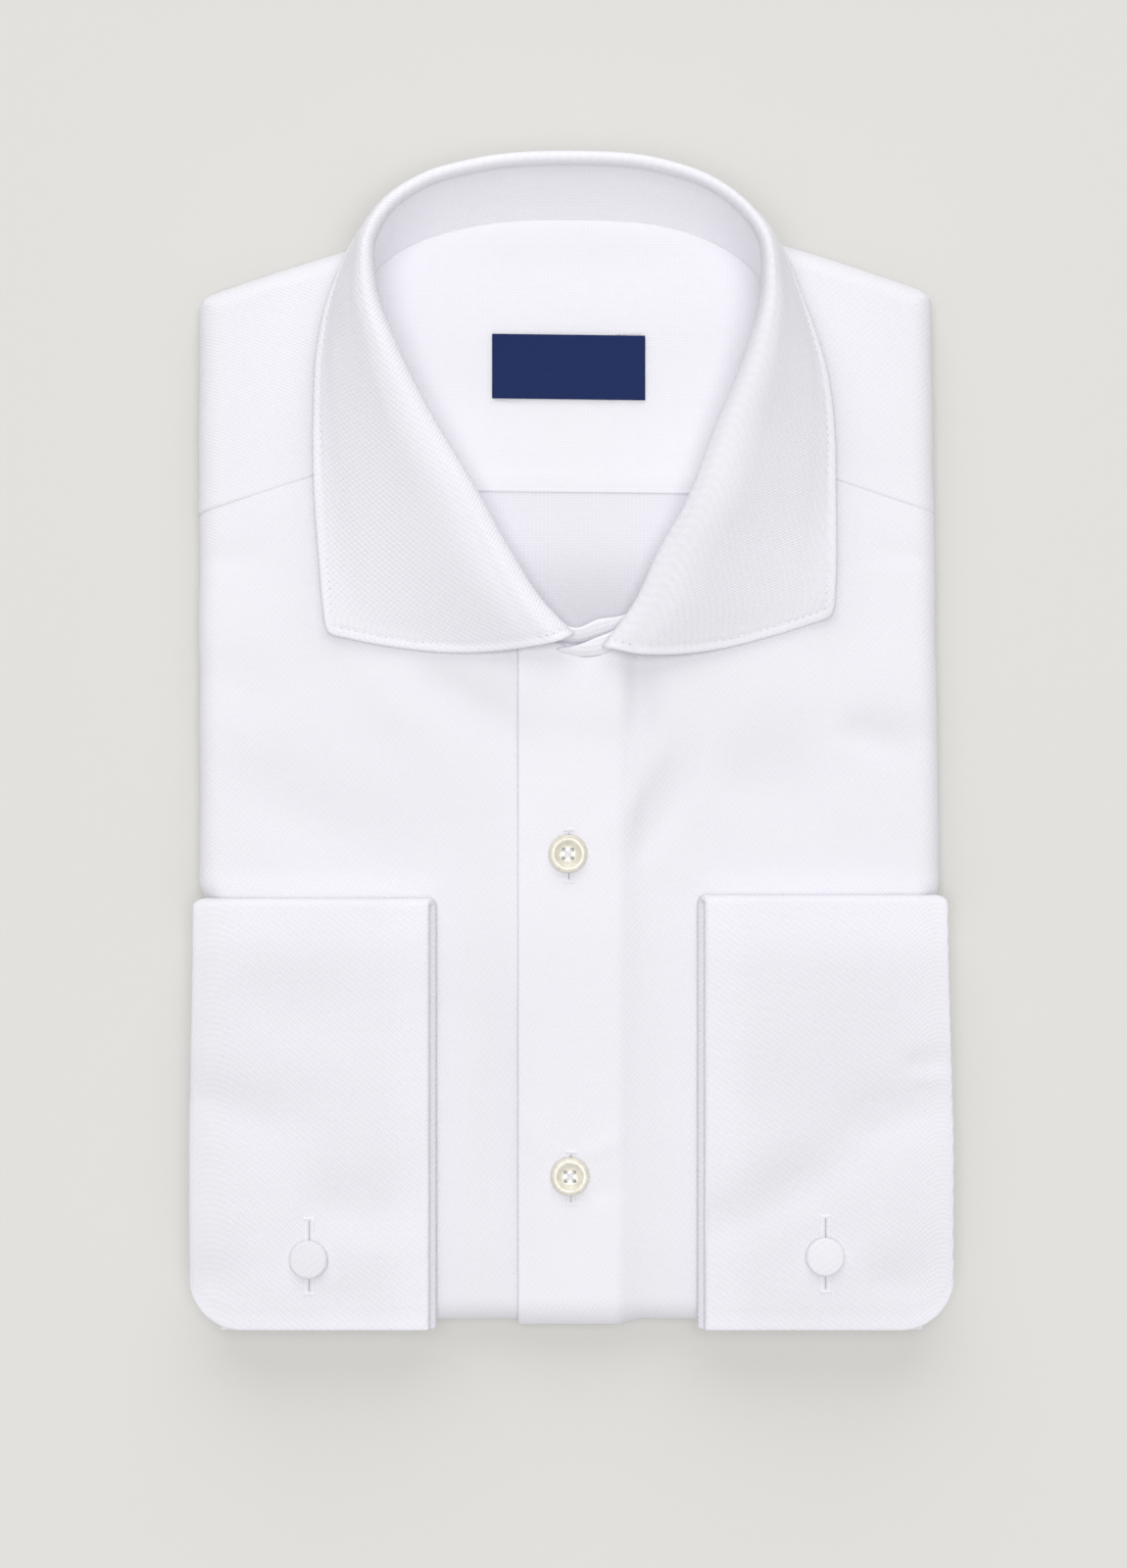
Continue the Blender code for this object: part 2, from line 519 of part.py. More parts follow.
def leaf_sections(rows, cross):
    """The leaf's centre line at each station: up out of the stand, over the roll, down to the edge.

    From the crest of the roll it falls as a hyperbola does: level at first, then straight.
    In front it is held up where it would sink into the fronts.
    """
    side = rows[:, 3:5] - rows[:, :2]
    side = side / np.linalg.norm(side, axis=1)[:, None]
    fold = np.gradient(rows[:, :2], axis=0)
    fold = fold / np.linalg.norm(fold, axis=1)[:, None]
    square = np.abs(fold[:, 0] * side[:, 1] - fold[:, 1] * side[:, 0])[:, None]
    stretch = 1.0 / np.maximum(square, 0.55)
    from_right, reach = np.arange(len(rows)), 0.045 * len(rows)
    near_tips = (np.exp(-from_right / reach), np.exp(-from_right[::-1] / reach))

    def place(out, down):
        return np.column_stack([rows[:, :2] + side * out * stretch, rows[:, 2:3] - down])

    half, edge = WALL / 2, rows[:, 3:6]
    roll = ROLL_AT_BACK + (ROLL_IN_FRONT - ROLL_AT_BACK) * (1 - ease(rows[:, 1:2], *ROLL_SPAN))
    crest = place(roll / 2, half)
    drop = sum(near_tip * sag[2] for near_tip, sag in zip(near_tips, FRONT_EDGE_SAG))
    crest[:, 1] -= drop
    knots = [place(half, ROLL_JOIN), place(half + 0.25, ROLL_JOIN / 2), crest]
    run = np.linalg.norm(edge[:, :2] - crest[:, :2], axis=1)[:, None]
    soft = ROLL_SOFTNESS * roll
    for share in (0.08, 0.2, 0.45, 0.72, 1.0):
        fall = (np.sqrt((run * share) ** 2 + soft ** 2) - soft) / (np.sqrt(run ** 2 + soft ** 2) - soft)
        point = crest + (edge - crest) * np.column_stack([0 * fall + share, 0 * fall + share, fall])
        for near_tip, (sag, power, _) in zip(near_tips, FRONT_EDGE_SAG):
            point[:, 1] -= sag * near_tip * math.sin(math.pi * share ** power)
        point[:, 2] += rows[:, 8] * 4 * share * (1 - share)
        knots.append(point)
    points = np.stack([through(line, cross) for line in np.stack(knots, axis=1)])
    x, y, z = points[..., 0], points[..., 1], points[..., 2]
    least = rest_height(x, y)
    held = 0.5 * (z + least + np.sqrt((z - least) ** 2 + TIP_REST_SOFTNESS))
    points[..., 2] = z + (held - z) * (1 - ease(y, *TIP_REST_SPAN))
    return points


def make_collar_leaf():
    rows = through(COLLAR, np.linspace(0.0, 1.0, 49))
    cross = np.concatenate([[0.0, 0.035, 0.06, 0.085, 0.11, 0.14], np.linspace(0.22, 1.0, 7)])
    return cloth("collar_leaf", leaf_sections(rows, cross), WALL, offset=0.0)


def cuff_base(side):
    """Height of the middle plane of a cuff, which lies on the front."""
    rest = max(front_top(side * x, y) for x in (45.0, 60.0, 80.0) for y in (-60.0, -100.0, -150.0))
    return rest + SEAM_GAP + 2 * CUFF_WALL + SEAM_GAP / 2 + SEAM_GAP


def make_cuff(name, cuff):
    """A flattened tube, open at the front edge, with its outer half turned back over it."""
    inner_reach = CUFF_WALL / 2 + SEAM_GAP / 2
    outer_reach = inner_reach + CUFF_WALL + SEAM_GAP
    middle, swing = (inner_reach + outer_reach) / 2, (outer_reach - inner_reach) / 2
    base = cuff_base(cuff["side"])
    fold = cuff["inner"] + swing + CUFF_WALL / 2
    wide, narrow = cuff["outer"]
    across = np.concatenate([np.linspace(0.0, 1.0, 5)[:-1], 1 + np.linspace(0.0, 1.0, 6)[:-1],
                             2 + np.array([0.0, 0.3, 0.6, 0.775, 0.84, 0.9, 0.955, 0.985, 1.0])])
    turn = np.linspace(0.0, math.pi, 7)
    straight = np.linspace(0.0, 1.0, 6)
    bend_y = cuff["top"] - outer_reach - CUFF_WALL / 2
    rows = []
    for u in across:
        if u <= 1:
            reach, bulge = inner_reach, 0.0
        elif u < 2:
            reach = middle - swing * math.cos(math.pi * (u - 1))
            bulge = swing * math.sin(math.pi * (u - 1))
        else:
            reach, bulge = outer_reach, 0.0
        line = []
        for upper, values in ((0.0, straight), (None, turn[1:-1]), (1.0, straight[::-1])):
            for value in values:
                up = (1 - math.cos(value)) / 2 if upper is None else upper
                along = 1.0 if upper is None else value
                taper = float(ease(CUFF_BOTTOM + (bend_y - CUFF_BOTTOM) * along, *CUFF_TAPER))
                edge = CUFF_UNDER_EDGE + (wide + (narrow - wide) * taper - CUFF_UNDER_EDGE) * up
                hand = fold - CUFF_PEEK * (1 - up)
                if u <= 1:
                    x = CUFF_SEAM + (hand - CUFF_SEAM) * u
                elif u < 2:
                    x = hand - bulge
                else:
                    x = hand + (edge - hand) * (u - 2)
                if upper is None:
                    line.append((x, bend_y + reach * math.sin(value), base - reach * math.cos(value)))
                    continue
                from_edge = max(0.0, CUFF_CORNER - (edge - x)) if u > 2 else 0.0
                lift = CUFF_CORNER - math.sqrt(max(CUFF_CORNER ** 2 - from_edge ** 2, 0.0))
                end = CUFF_BOTTOM + lift
                line.append((x, end + (bend_y - end) * value, base + (2 * upper - 1) * reach))
        rows.append(line)
    points = np.array(rows)
    points[:, :, 0] *= cuff["side"]
    if cuff["side"] > 0:
        points = points[::-1]
    return cloth(name, points, CUFF_WALL, offset=0.0)


def make_sleeve(name, cuff):
    """The sleeve comes out of the cuff, turns down over the side and goes in underneath."""
    base = cuff_base(cuff["side"])
    middle = SLEEVE_OUTSIDE - WALL / 2
    radius, low_radius = SLEEVE_RADII
    section = [(CUFF_SEAM + CUFF_WALL / 2, base)]
    for angle in np.linspace(90.0, 0.0, 6):
        turn = math.radians(angle)
        section.append((middle - radius + radius * math.cos(turn), base - radius + radius * math.sin(turn)))
    low = low_radius + WALL / 2
    for angle in np.linspace(0.0, -90.0, 5):
        turn = math.radians(angle)
        section.append((middle - low_radius + low_radius * math.cos(turn), low + low_radius * math.sin(turn)))
    section.append((SLEEVE_OUTSIDE - SLEEVE_LIP, WALL / 2))
    points = np.array([[(x, y, z) for x, z in section] for y in np.linspace(*SLEEVE_SPAN, 8)])
    points[:, :, 0] *= cuff["side"]
    if cuff["side"] > 0:
        points = points[::-1]
    return cloth(name, points, WALL, offset=0.0)


def turned(name, profile, steps, finish, place):
    """A profile of (radius, height) pairs turned about the upright axis."""
    bm = bmesh.new()
    verts = [bm.verts.new((radius * MM, 0.0, height * MM)) for radius, height in profile]
    for first, second in zip(verts, verts[1:]):
        bm.edges.new((first, second))
    mesh = bpy.data.meshes.new(name)
    bm.to_mesh(mesh)
    bm.free()
    obj = bpy.data.objects.new(name, mesh)
    obj.data.materials.append(material(finish))
    obj.location = (place[0] * MM, (place[1] + FRAME_SHIFT_Y) * MM, place[2] * MM)
    bpy.data.collections["folded_dress_shirt"].objects.link(obj)
    screw = obj.modifiers.new("turn", "SCREW")
    screw.axis = "Z"
    screw.steps = screw.render_steps = steps
    screw.use_merge_vertices = True
    screw.merge_threshold = 0.00002
    screw.use_normal_calculate = True
    return obj


def make_button(name, place):
    """A four-hole button with a raised rim and a dished middle."""
    radius, height = BUTTON_DIAMETER / 2, BUTTON_HEIGHT
    profile = [(0.0, height * 0.62), (radius * 0.5, height * 0.64), (radius * 0.66, height * 0.97),
               (radius * 0.86, height), (radius, height * 0.7), (radius * 0.97, height * 0.3),
               (radius * 0.7, 0.0), (0.0, 0.0)]
    button = turned(name, profile, 22, "pearl", place)
    for number, (sx, sy) in enumerate(((-1, -1), (1, -1), (1, 1), (-1, 1))):
        bm = bmesh.new()
        bmesh.ops.create_cone(bm, cap_ends=True, segments=8, radius1=BUTTON_HOLE / 2 * MM,
                              radius2=BUTTON_HOLE / 2 * MM, depth=8 * MM)
        mesh = bpy.data.meshes.new(f"{name}_hole_{number}")
        bm.to_mesh(mesh)
        bm.free()
        cutter = bpy.data.objects.new(mesh.name, mesh)
        cutter.parent = button
        cutter.location = (sx * BUTTON_HOLE_PITCH / 2 * MM, sy * BUTTON_HOLE_PITCH / 2 * MM, 0.0)
        cutter.hide_render = True
        cutter.display_type = "WIRE"
        bpy.data.collections["cutters"].objects.link(cutter)
        cut = button.modifiers.new(f"hole_{number}", "BOOLEAN")
        cut.object = cutter
        cut.operation = "DIFFERENCE"
        cut.solver = "EXACT"
    return button


def make_trims():
    for name, (x, y) in FRONT_BUTTONS.items():
        make_button(name, (x, y, front_top(x, y) + SEAM_GAP))
    for name, cuff in CUFFS.items():
        x, y = cuff["link"]
        radius = LINK_DIAMETER / 2
        profile = [(0.0, LINK_HEIGHT), (radius * 0.6, LINK_HEIGHT * 0.97),
                   (radius * 0.9, LINK_HEIGHT * 0.84), (radius, LINK_HEIGHT * 0.5),
                   (radius * 0.94, LINK_HEIGHT * 0.12), (radius * 0.8, 0.0), (0.0, 0.0)]
        top = cuff_base(cuff["side"]) + CUFF_WALL * 2 + SEAM_GAP * 1.5
        turned(f"link_{name}", profile, 28, "shirting", (cuff["side"] * x, y, top + SEAM_GAP))


def main():
    clear_scene()
    make_folded_layers()
    make_fronts()
    make_yoke()
    make_inside()
    make_collar_stand()
    make_collar_leaf()
    for name, cuff in CUFFS.items():
        make_cuff(f"cuff_{name}", cuff)
        make_sleeve(f"sleeve_{name}", cuff)
    make_trims()


main()
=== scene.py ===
"""Looks of a folded long sleeve dress shirt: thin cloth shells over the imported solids.

Sizes are in millimetres in the garment's own frame; MM and SHIFT_Y bring them to the
part's frame in metres. The wearer's left is at +X, the collar at +Y, up is +Z.
"""

import math

import bpy
import numpy as np
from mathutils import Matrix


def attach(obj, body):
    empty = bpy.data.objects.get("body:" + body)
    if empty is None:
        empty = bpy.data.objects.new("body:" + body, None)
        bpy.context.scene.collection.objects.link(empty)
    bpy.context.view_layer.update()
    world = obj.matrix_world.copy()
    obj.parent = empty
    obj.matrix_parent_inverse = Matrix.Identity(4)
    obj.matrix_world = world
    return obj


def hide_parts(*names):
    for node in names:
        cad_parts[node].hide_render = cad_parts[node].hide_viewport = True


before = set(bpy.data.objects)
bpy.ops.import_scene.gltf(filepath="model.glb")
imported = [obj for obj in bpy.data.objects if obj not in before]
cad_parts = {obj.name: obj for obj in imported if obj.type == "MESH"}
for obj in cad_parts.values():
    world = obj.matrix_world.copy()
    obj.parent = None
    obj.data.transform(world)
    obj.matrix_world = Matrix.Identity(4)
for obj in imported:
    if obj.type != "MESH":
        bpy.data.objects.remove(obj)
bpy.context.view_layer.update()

MM = 0.001
SHIFT_Y = 0.65

# ---- the folded body, as in the solids
HALF_WIDTH, FRONT, BACK = 109.8, 174.6, 160.0
SHOULDER_DROP, SHOULDER_POWER = (27.0, 25.4), 1.6        # wearer's right, wearer's left
CORNER_RADIUS, EDGE_RADIUS = 3.0, 5.5
SIDE_SHIFT, SIDE_FLARE = (-2.6, -1.0), 0.016    # the body lies a little to one side and widens downwards
CORE_TOP, CROWN = 14.5, 1.0
WALL, CUFF_WALL, GAP = 1.2, 1.0, 0.3
EDGE_EXTRA = EDGE_RADIUS * (math.pi / 2 - 1)    # a quarter circle's length beyond its radius
PLACKET_LEFT, PLACKET_FOLD, UNDERLAP_END = -16.0, 14.7, 15.0
YOKE_SEAM_AT_SIDE, YOKE_SEAM_SLOPE, INNER_YOKE_SEAM = 69.3, 0.32, 75.5
INNER_BACK_END = 31.8       # at the front of the neck opening

# ---- cloth as sewn
SHIRTING = 0.75             # shirting with its turned seam allowance
PLACKET_CLOTH = 1.15        # three turned-in layers
SEWN = 0.3                  # the panels run in under the stand's foot
YOKE_LAP = 1.2              # the yoke's turned edge lies over the fronts
COLLAR_CLOTH, STAND_CLOTH, CUFF_CLOTH = 1.45, 1.3, 0.95      # two layers on a fused interlining
SLEEVE_CLOTH, INSIDE_CLOTH, LABEL_CLOTH = 0.8, 0.6, 0.75
STITCH_INSET = 2.7          # edge stitching on the collar
STITCH_LENGTH, STITCH_PITCH, THREAD = 1.7, 2.25, 0.14
HOLE_LENGTH, HOLE_RADIUS = 0.42, 0.125          # needle holes

LABEL_CENTRE, LABEL_SIZE, LABEL_ASKEW = (-0.8, 112.1), (46.0, 19.4), 0.013
BUTTONS = {"button_chest": (-1.0, -34.0), "button_waist": (-0.4, -130.7)}
BUTTON_RADIUS, BUTTON_HEIGHT = 5.75, 2.5
BUTTON_HOLE_RADIUS, BUTTON_HOLE_PLACE = 0.62, 1.3       # the holes' distance from the middle lines
FRONT_BUTTONHOLE, CUFF_BUTTONHOLE = 14.6, 21.5          # lengths of the slits
#    out from the middle, up: shares of the radius and of the height
BUTTON_PROFILE = [
    (0.0, 0.6), (0.25, 0.6), (0.45, 0.62), (0.56, 0.72), (0.64, 0.92), (0.74, 1.0), (0.86, 0.985),
    (0.95, 0.88), (1.0, 0.66), (0.985, 0.42), (0.9, 0.16), (0.72, 0.02), (0.4, 0.0), (0.0, 0.0),
]
LINK_RADIUS, LINK_HEIGHT = 5.8, 2.3

CUFFS = {
    "right": {"side": -1, "inner": 42.4, "outer": (114.4, 113.3), "top": -47.3, "link": (78.5, -155.1)},
    "left": {"side": 1, "inner": 39.8, "outer": (114.4, 112.7), "top": -46.3, "link": (75.8, -154.3)},
}
CUFF_BOTTOM, CUFF_CORNER, CUFF_UNDER_EDGE, CUFF_SEAM, CUFF_PEEK = -176.5, 16.0, 106.4, 105.2, 2.0
CUFF_HEM = 5.0              # stitch row above the cuff's bottom edge
CUFF_SINK = -0.7            # the outer half can't sink further, because the inner one lies below
SLEEVE_SPAN, SLEEVE_OUTSIDE, SLEEVE_LIP = (-171.0, -52.0), 111.5, 4.1

#    fold_x, fold_y, fold_z, edge_x, edge_y, edge_z, seam_x, seam_y,  bow
COLLAR = [
    (1.5,   31.3,  26.5,  -73.4,  31.8,  17.6,   1.0,   29.2,  -5.0),
    (-8.3,  41.4,  29.0,  -74.4,  38.3,  17.6,  -13.5,  34.4,  -3.0),
    (-18.2, 56.7,  32.5,  -75.7,  53.0,  17.6,  -29.0,  45.0,  -0.8),
    (-28.0, 74.3,  36.5,  -77.1,  73.0,  17.5,  -44.0,  63.0,   0.5),
    (-42.6, 98.9,  41.0,  -77.3,  98.0,  17.4,  -58.5,  88.0,   1.2),
    (-50.6, 115.0, 44.5,  -76.2, 117.0,  17.3,  -64.5, 106.0,   1.8),
    (-57.4, 135.0, 47.8,  -71.2, 136.5,  17.2,  -64.5, 127.0,   1.8),
    (-57.0, 147.3, 50.0,  -64.2, 151.4,  15.5,  -60.5, 139.5,   1.5),
    (-52.6, 154.4, 50.6,  -57.6, 160.0,  10.5,  -54.5, 145.0,   1.2),
    (-43.2, 161.1, 51.2,  -46.4, 167.2,   7.5,  -45.0, 149.7,   1.0),
    (-27.8, 165.7, 51.7,  -29.3, 172.3,   5.6,  -29.0, 153.5,   1.0),
    (-1.0,  167.8, 52.0,   -1.0, 174.6,   5.0,   -1.0, 155.2,   1.0),
    (25.5,  165.7, 51.7,   26.9, 172.0,   5.6,   26.8, 153.5,   1.0),
    (39.9,  160.8, 51.2,   42.4, 166.4,   7.5,   41.6, 149.5,   1.0),
    (49.0,  154.2, 50.6,   52.2, 159.2,  10.5,   51.2, 144.5,   1.2),
    (54.3,  146.8, 50.0,   61.0, 150.8,  15.5,   57.5, 138.5,   1.5),
    (55.6,  133.6, 47.6,   68.2, 134.5,  17.2,   62.0, 126.0,   1.8),
    (50.5,  112.5, 44.0,   75.8, 114.0,  17.3,   62.8, 104.0,   1.8),
    (43.1,  94.6,  40.5,   78.6,  97.0,  17.4,   58.0,  86.0,   1.2),
    (33.5,  70.0,  36.0,   79.4,  74.0,  17.5,   46.5,  62.0,   0.5),
    (25.7,  56.0,  32.5,   79.5,  56.0,  17.6,   35.0,  46.0,  -0.8),
    (18.6,  41.0,  29.0,   79.2,  44.0,  17.6,   22.5,  34.0,  -2.5),
    (8.6,   27.4,  26.5,   78.5,  37.0,  17.6,    9.0,  25.8,  -4.0),
]
# the band ends that overlap in front of the neck: they leave the two tips' folds on the inside
BAND_END_INSIDE = [
    (17.2,  38.6,  25.4,    0.0,   0.0,   0.0,   16.6,  33.0,   0.0),
    (14.3,  37.7,  25.6,    0.0,   0.0,   0.0,   13.8,  32.0,   0.0),
    (7.8,   36.8,  26.2,    0.0,   0.0,   0.0,    8.0,  30.2,   0.0),
    (1.5,   34.2,  26.7,    0.0,   0.0,   0.0,    1.2,  29.2,   0.0),
]
BAND_END_OUTSIDE = [
    (12.6,  33.6,  26.8,    0.0,   0.0,   0.0,   13.0,  28.2,   0.0),
    (7.0,   31.2,  25.8,    0.0,   0.0,   0.0,    8.0,  25.8,   0.0),
    (1.8,   29.2,  25.0,    0.0,   0.0,   0.0,    2.0,  25.5,   0.0),
    (-4.2,  28.2,  24.0,    0.0,   0.0,   0.0,   -4.6,  27.2,   0.0),
]
STAND = BAND_END_INSIDE + COLLAR[1:-1] + BAND_END_OUTSIDE
# the leaf's front edge below a straight line, right tip then left: sag, how near the neck, drop there
FRONT_EDGE_SAG = ((4.5, 0.92, 1.7), (4.5, 0.80, 1.2))
BAND_END_LIFT = 0.6         # the inner band end's foot lies higher, on the front below
ROLL_JOIN = 4.6
RIM_SHARE = 0.94            # where the leaf flattens towards its stitched edge
ROLL_AT_BACK, ROLL_IN_FRONT, ROLL_SOFTNESS = 4.4, 7.0, 0.9   # the roll opens out towards the front

# ---- creases: a row each, from one end to the other; height below 0 is a trough
#    x0,    y0,    x1,    y1,  half width, height
FRONT_CREASES = [
    (19.0,  27.0,  20.0,   0.0,   4.0, -1.5),
    (13.0, -28.0,  30.0,   8.0,   4.6,  1.6),
    (21.0, -36.0,  39.0,  -3.0,   4.6, -1.2),
    (46.0, -12.0,  74.0, -14.0,  10.0, -1.3),
    (82.0,   3.0, 104.0,  -4.0,   5.5, -1.4),
    (108.0, 65.0,  88.0,  64.0,   3.5, -0.4),
    (-44.0, 20.0, -15.0,   0.0,   6.0, -2.0),
    (-60.0, 18.0, -24.0, -18.0,   9.0,  1.2),
    (-100.0, -12.0, -46.0, -40.0, 9.0, -1.0),
    (-108.0, 65.0, -90.0, 62.0,   4.0, -0.5),
    (-110.0, 26.0, -84.0, 12.0,   8.0, -0.7),
    (-24.0, -86.0, -20.0, -168.0, 6.0, -1.0),
    (26.0, -70.0,  32.0, -160.0,  7.0,  0.8),
]
PLACKET_CREASES = [
    (4.0, -125.0,  15.0, -119.0,   2.6,  0.55),
    (5.0, -137.0,  15.0, -134.0,   3.0, -0.6),
    (-8.0, -124.0, -14.0, -112.0,  3.0,  0.35),
    (4.0, -29.0,   13.0, -22.0,    3.0,  0.3),
    (-14.0, 8.0,   12.0,  5.0,     6.0, -0.5),
]
CUFFS["right"]["creases"] = [
    (-115.0, -106.0, -82.0, -117.0, 6.5, -1.3),
    (-82.0, -100.0, -78.0, -142.0,  8.0, -0.5),
    (-78.0, -139.0, -45.0, -142.0,  7.5, -1.0),
    (-99.0, -75.0, -68.0, -84.0,   11.0, -0.8),
    (-72.0, -150.0, -50.0, -156.0,  6.0,  0.6),
    (-113.0, -162.0, -96.0, -161.0, 6.0, -0.9),
    (-73.0, -165.0, -68.0, -172.0,  3.5, -0.5),
]
CUFFS["left"]["creases"] = [
    (40.0, -148.0,  74.0, -132.0,   6.5, -1.4),
    (64.0, -138.0,  96.0, -112.0,   7.5, -1.4),
    (86.0, -116.0, 115.0, -107.0,   6.0, -1.3),
    (100.0, -97.5, 114.0, -96.0,    2.8, -0.7),
    (102.0, -101.5, 114.0, -100.5,  2.4,  0.5),
    (54.0, -112.0, 108.0, -97.0,   14.0, -1.0),
    (90.0, -162.0, 112.0, -161.0,   6.0, -1.0),
]

# light: the tent's share, then a row for each panel: share, degrees from overhead, turn, disc
TENT_SHARE = 0.35
PANELS = [
    ("overhead", 0.47, 1.0, 0.0, 34.0),
    ("collar_end", 0.185, 60.0, 3.0, 60.0),
    ("hem_end", 0.08, -56.0, 0.0, 80.0),
]

# Painted light and shade among these colours: back is a darker copy of the inside cloth, painted shade; band
# is set lighter than the other whites, painted light; the glow colour is a painted glow; shade is painted
# shade in holes and slits.
HEX = {
    "shirting": "EAE9EF", "inside": "F1F0F5", "back": "DDDCE2", "collar": "EBEAF0", "band": "F0EFF4",
    "cuff": "E8E7ED", "thread": "F0EFF5", "label": "1F2F5D", "pearl": "E6E2D3", "floor": "DAD9D5",
    "shade": "A5A2AA", "painted_light_emission": "E9E8F2", "pearl_low": "D6D1BF", "pearl_high": "EAE6D9",
}


# ======================================================================= small tools
def linear(code):
    """sRGB hex to linear RGBA."""
    part = np.array([int(code[i:i + 2], 16) for i in (0, 2, 4)]) / 255.0
    part = np.where(part <= 0.04045, part / 12.92, ((part + 0.055) / 1.055) ** 2.4)
    return (*(float(value) for value in part), 1.0)


def ease(value, start, end):
    """0 before start, 1 after end, a smooth cubic step between."""
    part = np.clip((np.asarray(value, float) - start) / (end - start), 0.0, 1.0)
    return part * part * (3 - 2 * part)


def fall(value, start, end):
    """1 before start, 0 after end: ease turned round."""
    return 1 - ease(value, start, end)


def bell(distance, width):
    """A soft bump: e to the minus square of distance over width."""
    return np.exp(-(distance / width) ** 2)


def creases(x, y, rows, shade=False):
    """Sum of soft ridges and troughs: a bell across each line, fading out at both ends.

    A trough falls slowly on its collar side and rises fast below its line. With shade it
    gives how much of each trough's long slope lies at a point instead of the height, for
    painted shade.
    """
    total = np.zeros(np.broadcast(x, y).shape)
    for x0, y0, x1, y1, width, height in rows:
        run, rise = x1 - x0, y1 - y0
        length = math.hypot(run, rise)
        share = ((x - x0) * run + (y - y0) * rise) / length ** 2
        bend = 0.12 * length * (share - 0.5) ** 2
        across = ((x - x0) * rise - (y - y0) * run) / length + bend
        fade = ease(share, -0.25, 0.25) * fall(share, 0.55, 1.25)
        above = -across if run > 0 else across
        spread = width * (0.8 + 0.5 * np.clip(share, 0, 1))
        if shade:
            total = total + max(-height, 0.0) * fade * bell(above - 0.9 * spread, 1.1 * spread)
            continue
        spread = spread * np.where((above > 0) & (height < 0), 1.7, 1.0)
        total = total + height * fade * bell(across, spread)
    return total


def drift(x, y, seed, size, height):
    """Slight unevenness of pressed cloth: a few long sine waves in drawn directions."""
    draw = np.random.default_rng(seed)
    total = np.zeros(np.broadcast(x, y).shape)
    for _ in range(6):
        angle, phase = draw.uniform(0, math.pi), draw.uniform(0, 2 * math.pi)
        wave = size * draw.uniform(0.6, 1.6)
        total = total + np.sin((x * math.cos(angle) + y * math.sin(angle)) * 2 * math.pi / wave + phase)
    return total * height / 2.5


def spaced(length, step, near=(0.0, 0.12, 0.35, 0.7, 1.2, 2.0)):
    """Places from 0 to length, close together at both ends so that a rim rounds off."""
    near = np.array(near)
    count = max(3, int(round((length - 2 * near[-1]) / step)) + 1)
    middle = np.linspace(near[-1], length - near[-1], count)
    return np.concatenate([near[:-1], middle, (length - near)[-2::-1]])


def lengths(points, axis):
    """Distance walked along one grid direction, from its first line."""
    step = np.linalg.norm(np.diff(points, axis=axis), axis=2)
    walked = np.cumsum(step, axis=axis)
    pad = [(0, 0), (0, 0)]
    pad[axis] = (1, 0)
    return np.pad(walked, pad)


def distances(path):
    """Distance along a path to each of its points."""
    return np.concatenate([[0.0], np.cumsum(np.linalg.norm(np.diff(path, axis=0), axis=1))])


def places(path, at):
    """Points of a path at given distances along it."""
    walked = distances(path)
    return np.stack([np.interp(at, walked, line) for line in path.T], axis=1)


def segments(path):
    """Middles and directions of a path's pieces."""
    return (path[1:] + path[:-1]) / 2, path[1:] - path[:-1]


def unit(vectors):
    """Vectors brought to length 1."""
    return vectors / np.maximum(np.linalg.norm(vectors, axis=-1, keepdims=True), 1e-9)


def joined(*parts):
    """Arrays of one shape, or that stretch to one, side by side along a new last axis."""
    return np.stack(np.broadcast_arrays(*parts), axis=-1)


def edge_distances(points):
    """Distance of each grid point from the first and last row and column."""
    down, over = lengths(points, 0), lengths(points, 1)
    return down, down[-1:, :] - down, over, over[:, -1:] - over


def normals(points):
    """Unit normals of a grid: rows' direction crossed with the columns'."""
    return unit(np.cross(np.gradient(points, axis=1), np.gradient(points, axis=0)))


def through(rows, where):
    """A smooth curve through the rows: cubic pieces with the slopes of their neighbours."""
    rows = np.asarray(rows, float)
    at = distances(rows[:, :3])
    slope = np.gradient(rows, at, axis=0)
    place = np.asarray(where) * at[-1]
    i = np.clip(np.searchsorted(at, place, side="right") - 1, 0, len(at) - 2)
    width = (at[i + 1] - at[i])[:, None]
    t = (place - at[i])[:, None] / width
    return ((2 * t ** 3 - 3 * t ** 2 + 1) * rows[i] + (t ** 3 - 2 * t ** 2 + t) * width * slope[i]
            + (3 * t ** 2 - 2 * t ** 3) * rows[i + 1] + (t ** 3 - t ** 2) * width * slope[i + 1])


